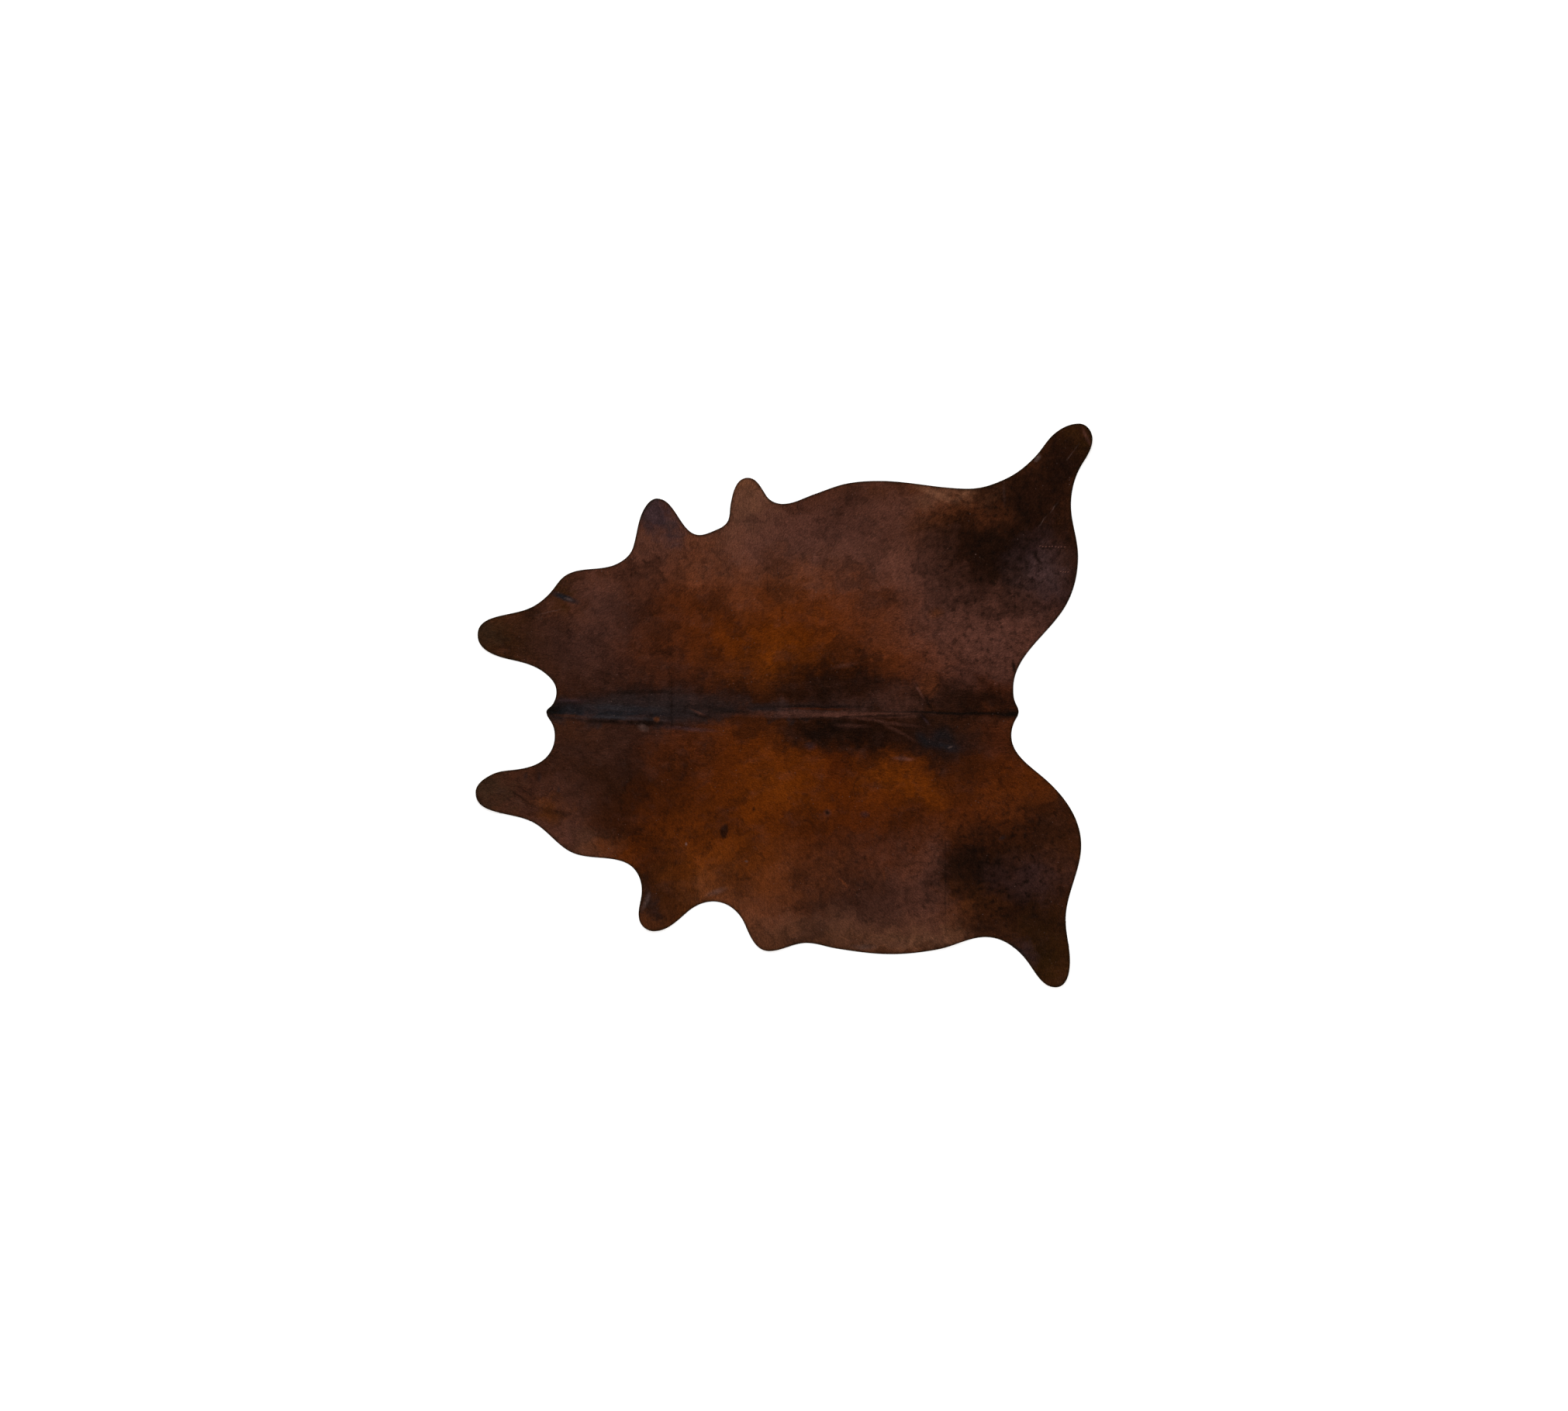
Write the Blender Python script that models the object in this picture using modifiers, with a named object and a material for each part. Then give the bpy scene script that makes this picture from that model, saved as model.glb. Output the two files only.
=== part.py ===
"""Cowhide rug: one whole hair-on hide, lying flat with its hair side up.

Metres, +Z up. The hide rests on Z = 0 with its spine along X, its neck at -X and its tail at +X.
The right flank is at +Y. The origin is under the middle of the hide's bounding box.
"""

from collections import namedtuple
import math

import bmesh
import bpy
from mathutils import Vector, kdtree
from mathutils.geometry import delaunay_2d_cdt, interpolate_bezier, intersect_point_line


# ---- Driving dimensions -------------------------------------------------------------------

THICKNESS = 0.003  # skin with its short hair pressed flat

EDGE_STEP = 0.020  # longest step between two points of the trimmed edge
EDGE_TURN = 11.0  # most degrees that the edge turns between two points
GRID_STEP = 0.042  # spacing of the points inside the hide
SPINE_ROWS = (0.010, 0.022, 0.036, 0.054)  # finer rows on both sides of the spine ridge
EDGE_MARGIN = 0.60  # clear distance from the edge to the inner points, in steps of the grid
FOLD_FADE = 0.16  # share of a fold's length over which it dies out at each end

# Places on the hide: "along" runs from the neck nub towards the tail, "out" from the spine to
# the side. In the tables that hold both sides, "out" is positive on the right flank.
# The edge's "heading" is the way it runs, from the neck round to the tail: 0 towards the tail,
# 90 outwards from the spine, 180 towards the neck.

Landmark = namedtuple("Landmark", "name along out heading")

RIGHT_EDGE = (
    Landmark("neck nub", 0.000, 0.000, 90),
    Landmark("root of the nub", 0.020, 0.024, 52),
    Landmark("neck notch", 0.036, 0.072, 90),
    Landmark("neck lobe, inner root", -0.011, 0.143, 144),
    Landmark("neck lobe, inner edge", -0.125, 0.186, 168),
    Landmark("neck lobe, tip", -0.245, 0.275, 90),
    Landmark("neck lobe, outer root", -0.057, 0.372, 25),
    Landmark("neck slope", 0.016, 0.428, 48),
    Landmark("neck corner", 0.068, 0.487, 33),
    Landmark("shoulder", 0.250, 0.528, 25),
    Landmark("foreleg, root", 0.309, 0.586, 72),
    Landmark("foreleg, front", 0.353, 0.731, 57),
    Landmark("foreleg, tip", 0.396, 0.762, 0),
    Landmark("between the foreleg flaps", 0.546, 0.632, 0),
    Landmark("second flap, root", 0.608, 0.651, 22),
    Landmark("second flap, corner", 0.649, 0.684, 66),
    Landmark("second flap, front", 0.657, 0.737, 80),
    Landmark("second flap, tip", 0.720, 0.836, 0),
    Landmark("second flap, back", 0.787, 0.770, -55),
    Landmark("belly notch", 0.845, 0.743, 0),
    Landmark("belly, rising", 0.955, 0.777, 19),
    Landmark("belly, front", 1.075, 0.816, 11),
    Landmark("belly", 1.190, 0.825, 0),
    Landmark("flank notch", 1.506, 0.797, 0),
    Landmark("hind leg, root", 1.645, 0.835, 26),
    Landmark("hind leg, front", 1.748, 0.915, 47),
    Landmark("hind foot, front", 1.813, 0.993, 40),
    Landmark("hind foot, tip", 1.900, 1.029, 0),
    Landmark("hind foot, back", 1.949, 0.973, -90),
    Landmark("hind leg, back", 1.914, 0.887, -122),
    Landmark("hock", 1.873, 0.738, -90),
    Landmark("hip", 1.898, 0.555, -90),
    Landmark("rump", 1.861, 0.392, -117),
    Landmark("tail notch", 1.667, 0.084, -90),
    Landmark("root of the tail nub", 1.676, 0.030, -62),
    Landmark("tail nub", 1.686, 0.000, -90),
)

LEFT_EDGE = (
    Landmark("neck nub", 0.000, 0.000, 90),
    Landmark("root of the nub", 0.016, 0.034, 57),
    Landmark("neck notch", 0.030, 0.086, 90),
    Landmark("neck lobe, inner root", -0.008, 0.169, 140),
    Landmark("neck lobe, inner edge", -0.112, 0.206, 173),
    Landmark("neck lobe, shoulder", -0.194, 0.223, 153),
    Landmark("neck lobe, tip", -0.252, 0.288, 90),
    Landmark("neck lobe, outer root", -0.050, 0.393, 27),
    Landmark("neck corner", 0.080, 0.496, 30),
    Landmark("shoulder", 0.280, 0.537, 22),
    Landmark("foreleg, front", 0.340, 0.651, 96),
    Landmark("foreleg, lower front", 0.332, 0.742, 75),
    Landmark("foreleg, tip", 0.385, 0.783, 0),
    Landmark("foreleg, back", 0.503, 0.715, -41),
    Landmark("between the foreleg flaps", 0.596, 0.677, 0),
    Landmark("second flap, front", 0.709, 0.759, 67),
    Landmark("second flap, tip", 0.795, 0.854, 0),
    Landmark("belly notch", 0.928, 0.825, 0),
    Landmark("belly, rising", 1.036, 0.845, 9),
    Landmark("belly", 1.231, 0.865, 0),
    Landmark("belly, falling", 1.397, 0.848, -11),
    Landmark("flank notch", 1.568, 0.804, 0),
    Landmark("hind leg, front", 1.720, 0.895, 54),
    Landmark("hind foot, tip", 1.817, 0.983, 0),
    Landmark("hind foot, back", 1.869, 0.886, -90),
    Landmark("hock", 1.854, 0.742, -90),
    Landmark("hip", 1.909, 0.476, -90),
    Landmark("rump", 1.759, 0.221, -141),
    Landmark("tail notch", 1.660, 0.084, -90),
    Landmark("root of the tail nub", 1.671, 0.035, -65),
    Landmark("tail nub", 1.686, 0.000, -90),
)

# Soft ridges that stand off the floor, from one end to the other. A ridge that runs to the
# edge ends beyond it, so that the edge ripples.
Fold = namedtuple("Fold", "name along_1 out_1 along_2 out_2 half_width height")

FOLDS = (
    Fold("spine, at the neck", 0.020, 0.008, 0.800, 0.016, 0.062, 0.0065),
    Fold("spine, at the loin", 0.420, 0.018, 1.660, 0.004, 0.050, 0.0075),
    Fold("behind the neck", 0.440, 0.390, 0.436, -0.060, 0.090, 0.0020),
    Fold("right belly", 0.990, 0.880, 1.095, 0.610, 0.085, 0.0045),
    Fold("right flank", 1.520, 0.880, 1.400, 0.590, 0.095, 0.0060),
    Fold("left flank", 1.475, -0.920, 1.360, -0.620, 0.095, 0.0060),
    Fold("left thigh", 1.432, -0.440, 1.455, -0.900, 0.080, 0.0030),
    Fold("right thigh", 1.655, 0.920, 1.600, 0.470, 0.090, 0.0035),
)

# Flaps of the edge that lift off the floor.
Lift = namedtuple("Lift", "name along out reach height")

LIFTS = (
    Lift("right neck lobe", -0.245, 0.285, 0.170, 0.0070),
    Lift("left neck lobe", -0.255, -0.290, 0.190, 0.0090),
    Lift("right neck corner", 0.060, 0.480, 0.120, 0.0035),
    Lift("right foreleg", 0.390, 0.770, 0.150, 0.0080),
    Lift("right second flap", 0.720, 0.840, 0.140, 0.0060),
    Lift("left foreleg", 0.360, -0.790, 0.150, 0.0070),
    Lift("left second flap", 0.800, -0.860, 0.150, 0.0055),
    Lift("right hind foot", 1.930, 1.020, 0.230, 0.0100),
    Lift("left hind foot", 1.830, -0.985, 0.210, 0.0080),
    Lift("right hip", 1.905, 0.590, 0.150, 0.0045),
    Lift("left hip", 1.915, -0.450, 0.170, 0.0055),
)


# ---- The trimmed edge ---------------------------------------------------------------------

def turn_between(start, end):
    """Degrees between the headings of two landmarks, without a sign."""
    return abs((end.heading - start.heading + 180) % 360 - 180)


def side_points(landmarks, side):
    """Points of one side's edge. side is 1 for the right flank and -1 for the left.

    Two landmarks are joined by a Bezier curve whose handles make a circular arc of it where
    the headings allow one.
    """
    points = []
    for start, end in zip(landmarks, landmarks[1:]):
        start_at = Vector((start.along, side * start.out))
        end_at = Vector((end.along, side * end.out))
        turn = turn_between(start, end)
        chord = (end_at - start_at).length
        handle = chord / (3 * math.cos(math.radians(turn / 4)) ** 2)
        leaving = heading_vector(start.heading, side) * handle
        arriving = heading_vector(end.heading, side) * handle
        steps = max(1, math.ceil(chord / EDGE_STEP), math.ceil(turn / EDGE_TURN))
        curve = interpolate_bezier(
            start_at, start_at + leaving, end_at - arriving, end_at, steps + 1)
        points += [point.to_2d() for point in curve[:-1]]
    return points


def heading_vector(heading, side):
    """The direction of a heading, seen from above."""
    angle = math.radians(heading)
    return Vector((math.cos(angle), side * math.sin(angle)))


def edge_points():
    """The whole edge as a closed loop, anticlockwise seen from above."""
    left = side_points(LEFT_EDGE, -1)
    right = side_points(RIGHT_EDGE, 1)
    tail_nub = Vector((RIGHT_EDGE[-1].along, 0.0))
    back_to_neck = list(reversed(right[1:]))
    return left + [tail_nub] + back_to_neck


# ---- Folds --------------------------------------------------------------------------------

def bell(distance, reach):
    """1 in the middle, easing to 0 at the reach and beyond."""
    return 0.5 * (1 + math.cos(math.pi * min(distance / reach, 1.0)))


def fold_height(fold, point):
    """How far one fold lifts the hide at a point."""
    start = Vector((fold.along_1, fold.out_1))
    end = Vector((fold.along_2, fold.out_2))
    nearest, share = intersect_point_line(point, start, end)
    if not 0 < share < 1:
        return 0.0
    fade = bell(FOLD_FADE - min(share, 1 - share, FOLD_FADE), FOLD_FADE)
    return fold.height * fade * bell((point - nearest.to_2d()).length, fold.half_width)


def underside_height(point):
    """Height of the flesh side over the floor."""
    height = sum(fold_height(fold, point) for fold in FOLDS)
    for lift in LIFTS:
        distance = (point - Vector((lift.along, lift.out))).length
        height += lift.height * bell(distance, lift.reach)
    return height


# ---- The hide -----------------------------------------------------------------------------

def is_inside(point, loop):
    """Whether a point lies inside a closed loop, by counting crossings."""
    inside = False
    for one, two in zip(loop, loop[1:] + loop[:1]):
        if (one.y > point.y) != (two.y > point.y):
            crossing = one.x + (two.x - one.x) * (point.y - one.y) / (two.y - one.y)
            if crossing > point.x:
                inside = not inside
    return inside


def row_positions():
    """Distances of the inner rows from the spine: fine on the ridge, then even."""
    widest = max(mark.out for mark in RIGHT_EDGE + LEFT_EDGE)
    rows = [0.0] + list(SPINE_ROWS)
    while rows[-1] < widest:
        rows.append(rows[-1] + GRID_STEP * 0.866)
    return sorted({sign * row for row in rows for sign in (-1, 1)})


def inner_points(loop):
    """Staggered rows of points inside the edge, clear of it."""
    tree = kdtree.KDTree(len(loop))
    for index, point in enumerate(loop):
        tree.insert(point.to_3d(), index)
    tree.balance()

    first = min(point.x for point in loop)
    count = math.ceil((max(point.x for point in loop) - first) / GRID_STEP)
    margin = EDGE_MARGIN * GRID_STEP
    points = []
    for number, out in enumerate(row_positions()):
        stagger = 0.5 * (number % 2)
        for column in range(count):
            point = Vector((first + (column + stagger) * GRID_STEP, out))
            if tree.find(point.to_3d())[2] > margin and is_inside(point, loop):
                points.append(point)
    return points


def middle_of(points):
    """The middle of the points' bounding box."""
    across = [point.x for point in points]
    up = [point.y for point in points]
    return Vector((min(across) + max(across), min(up) + max(up))) / 2


def make_hide(collection):
    """The flesh side as an open sheet, thickened upwards by Solidify."""
    loop = edge_points()
    flat = loop + inner_points(loop)
    rim = [(index, (index + 1) % len(loop)) for index in range(len(loop))]
    inside_constraints = 1
    corners, _, triangles, _, _, _ = delaunay_2d_cdt(flat, rim, [], inside_constraints, 1e-6)

    middle = middle_of(loop)
    sheet = bmesh.new()
    vertices = []
    for corner in corners:
        place = corner - middle
        vertices.append(sheet.verts.new((place.x, place.y, underside_height(corner))))
    for triangle in triangles:
        sheet.faces.new([vertices[index] for index in triangle])

    mesh = bpy.data.meshes.new("hide")
    sheet.to_mesh(mesh)
    sheet.free()
    mesh.shade_smooth()
    mesh.materials.append(hair_material())

    hide = bpy.data.objects.new("hide", mesh)
    collection.objects.link(hide)
    shell = hide.modifiers.new("thickness", "SOLIDIFY")
    shell.thickness = THICKNESS
    shell.offset = 1.0
    return hide


def hair_material():
    """Short glossy brown hair."""
    material = bpy.data.materials.new("brown hair-on leather")
    material.use_nodes = True
    surface = material.node_tree.nodes["Principled BSDF"]
    surface.inputs["Base Color"].default_value = (0.072, 0.026, 0.010, 1.0)
    surface.inputs["Roughness"].default_value = 0.52
    surface.inputs["Metallic"].default_value = 0.0
    return material


def main():
    for old in list(bpy.data.objects):
        bpy.data.objects.remove(old, do_unlink=True)
    collection = bpy.data.collections.new("cowhide rug")
    bpy.context.scene.collection.children.link(collection)
    make_hide(collection)


main()
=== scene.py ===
import math
from collections import namedtuple

import bmesh
import bpy
import numpy as np
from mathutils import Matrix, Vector
from mathutils.bvhtree import BVHTree
from mathutils.geometry import delaunay_2d_cdt
from mathutils.kdtree import KDTree


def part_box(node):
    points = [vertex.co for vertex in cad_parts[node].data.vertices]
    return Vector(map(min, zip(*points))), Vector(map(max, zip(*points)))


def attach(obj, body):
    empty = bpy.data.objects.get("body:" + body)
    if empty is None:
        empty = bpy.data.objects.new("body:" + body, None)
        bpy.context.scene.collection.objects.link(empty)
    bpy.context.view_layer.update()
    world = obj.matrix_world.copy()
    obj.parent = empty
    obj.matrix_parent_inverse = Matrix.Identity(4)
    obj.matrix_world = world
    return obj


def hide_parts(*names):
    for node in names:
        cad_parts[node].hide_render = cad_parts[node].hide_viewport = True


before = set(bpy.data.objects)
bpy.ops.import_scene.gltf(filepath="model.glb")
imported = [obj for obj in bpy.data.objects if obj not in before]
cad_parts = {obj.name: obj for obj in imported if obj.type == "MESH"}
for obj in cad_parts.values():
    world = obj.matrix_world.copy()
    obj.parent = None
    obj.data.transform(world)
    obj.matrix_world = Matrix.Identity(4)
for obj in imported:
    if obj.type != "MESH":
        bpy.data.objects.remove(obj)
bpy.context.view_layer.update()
print("the packed hide is loaded")

# Every place on the hide is given as a tanner would point at it: how far along the spine from
# the nub at the neck, and how far out from the spine, more than 0 on the right flank and less
# than 0 on the left.
lobeReach = 0.252  # the neck lobes reach this far ahead of the nub
leftReach = 0.983  # the left hind foot is this far out
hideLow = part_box("hide")[0]
nubX = hideLow.x + lobeReach
spineY = hideLow.y + leftReach


def linear(red, green, blue):  # 0 to 255 as in a colour picker, to a shader's colour
    shares = [value / 255 for value in (red, green, blue)]
    return (*[share / 12.92 if share < 0.04 else ((share + 0.055) / 1.055) ** 2.4 for share in shares], 1.0)


class Wire:  # a node's output that Python's operators can work on
    def __init__(self, tree, socket=None):
        self.tree = tree
        self.socket = socket

    def node(self, kind, settings=None, values=None, output=0):
        made = self.tree.nodes.new("ShaderNode" + kind)
        for name, value in (settings or {}).items():
            if name == "stops":
                ramp = made.color_ramp.elements
                ramp[0].position, ramp[0].color = value[0]
                ramp[1].position, ramp[1].color = value[-1]
                for place, colour in value[1:-1]:
                    ramp.new(place).color = colour
            else:
                setattr(made, name, value)
        for name, value in (values or {}).items():
            if isinstance(value, Wire):
                self.tree.links.new(value.socket, made.inputs[name])
            else:
                made.inputs[name].default_value = value
        return Wire(self.tree, made.outputs[output] if made.outputs else None)

    def maths(self, operation, first, second):
        return self.node("Math", {"operation": operation}, {0: first, 1: second})

    def __add__(self, other):
        return self.maths("ADD", self, other)

    def __radd__(self, other):
        return self.maths("ADD", other, self)

    def __sub__(self, other):
        return self.maths("SUBTRACT", self, other)

    def __rsub__(self, other):
        return self.maths("SUBTRACT", other, self)

    def __mul__(self, other):
        return self.maths("MULTIPLY", self, other)

    def __rmul__(self, other):
        return self.maths("MULTIPLY", other, self)

    def __abs__(self):
        return self.maths("ABSOLUTE", self, 0.0)

    def vectors(self, operation, other, output=0):
        return self.node("VectorMath", {"operation": operation}, {0: self, 1: other}, output)

    def scaled(self, size):  # a vector or a colour, made longer or lighter
        return self.node("VectorMath", {"operation": "SCALE"}, {0: self, "Scale": size})

    def mixed(self, other, share):  # from this colour towards the other
        return self.node("Mix", {"data_type": "RGBA"}, {0: share, 6: self, 7: other}, 2)

    def plain(self, colour, other=None, share=0.0):  # a colour to work on, or a share of two
        return self.node("Mix", {"data_type": "RGBA"}, {0: share, 6: colour, 7: other or colour}, 2)

    def eased(self, low, high, start=0.0, end=1.0):  # a soft step from low to high
        limits = {"From Min": low, "From Max": high, "To Min": start, "To Max": end}
        return self.node("MapRange", {"interpolation_type": "SMOOTHSTEP"}, {"Value": self, **limits})

    def noise(self, size, detail=2.0, roughness=0.5, output=0):  # size: metres from lump to lump
        values = {"Vector": self, "Scale": 1 / size, "Detail": detail, "Roughness": roughness}
        return self.node("TexNoise", {"noise_dimensions": "3D"}, values, output)


# The coat's colours. Plum and rose stand partly for painted sheen, the grey and rosy veil that the lay of the
# hair reflects
coatColours = {
    "chestnut": linear(66, 33, 15),
    "plum": linear(65, 37, 30),
    "rose": linear(88, 53, 43),
    "beige": linear(108, 70, 50),
    "amber": linear(81, 33, 2),
    "gold": linear(101, 46, 4),
    "honey": linear(92, 46, 15),
    "russet": linear(66, 25, 4),
    "umber": linear(29, 12, 5),
    "sable": linear(15, 7, 4),
    "olive": linear(41, 22, 5),
    "slate": linear(50, 35, 37),
    "ash": linear(98, 76, 70),
    "black": linear(7, 7, 6),
    "dusk": linear(39, 22, 17),
    "rust": linear(88, 44, 23),
    "smoke": linear(36, 27, 26),
    "steel": linear(36, 35, 38),
    "ink": linear(24, 24, 27),
    "drab": linear(45, 31, 20),
    "full": (1.0, 1.0, 1.0, 1.0),
}

# Where the coat turns from one colour to another, from the widest areas to the smallest: the
# place and the half sizes long and wide in millimetres, soft as the share of the half size
# over which the edge fades, and turn in degrees.
Patch = namedtuple("Patch", "name along out long wide colour strength soft turn", defaults=(0.8, 0))


def patches(*rows):
    return [Patch(*row) for row in rows]


# The plum and rose areas among these are partly painted sheen on the hair
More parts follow.
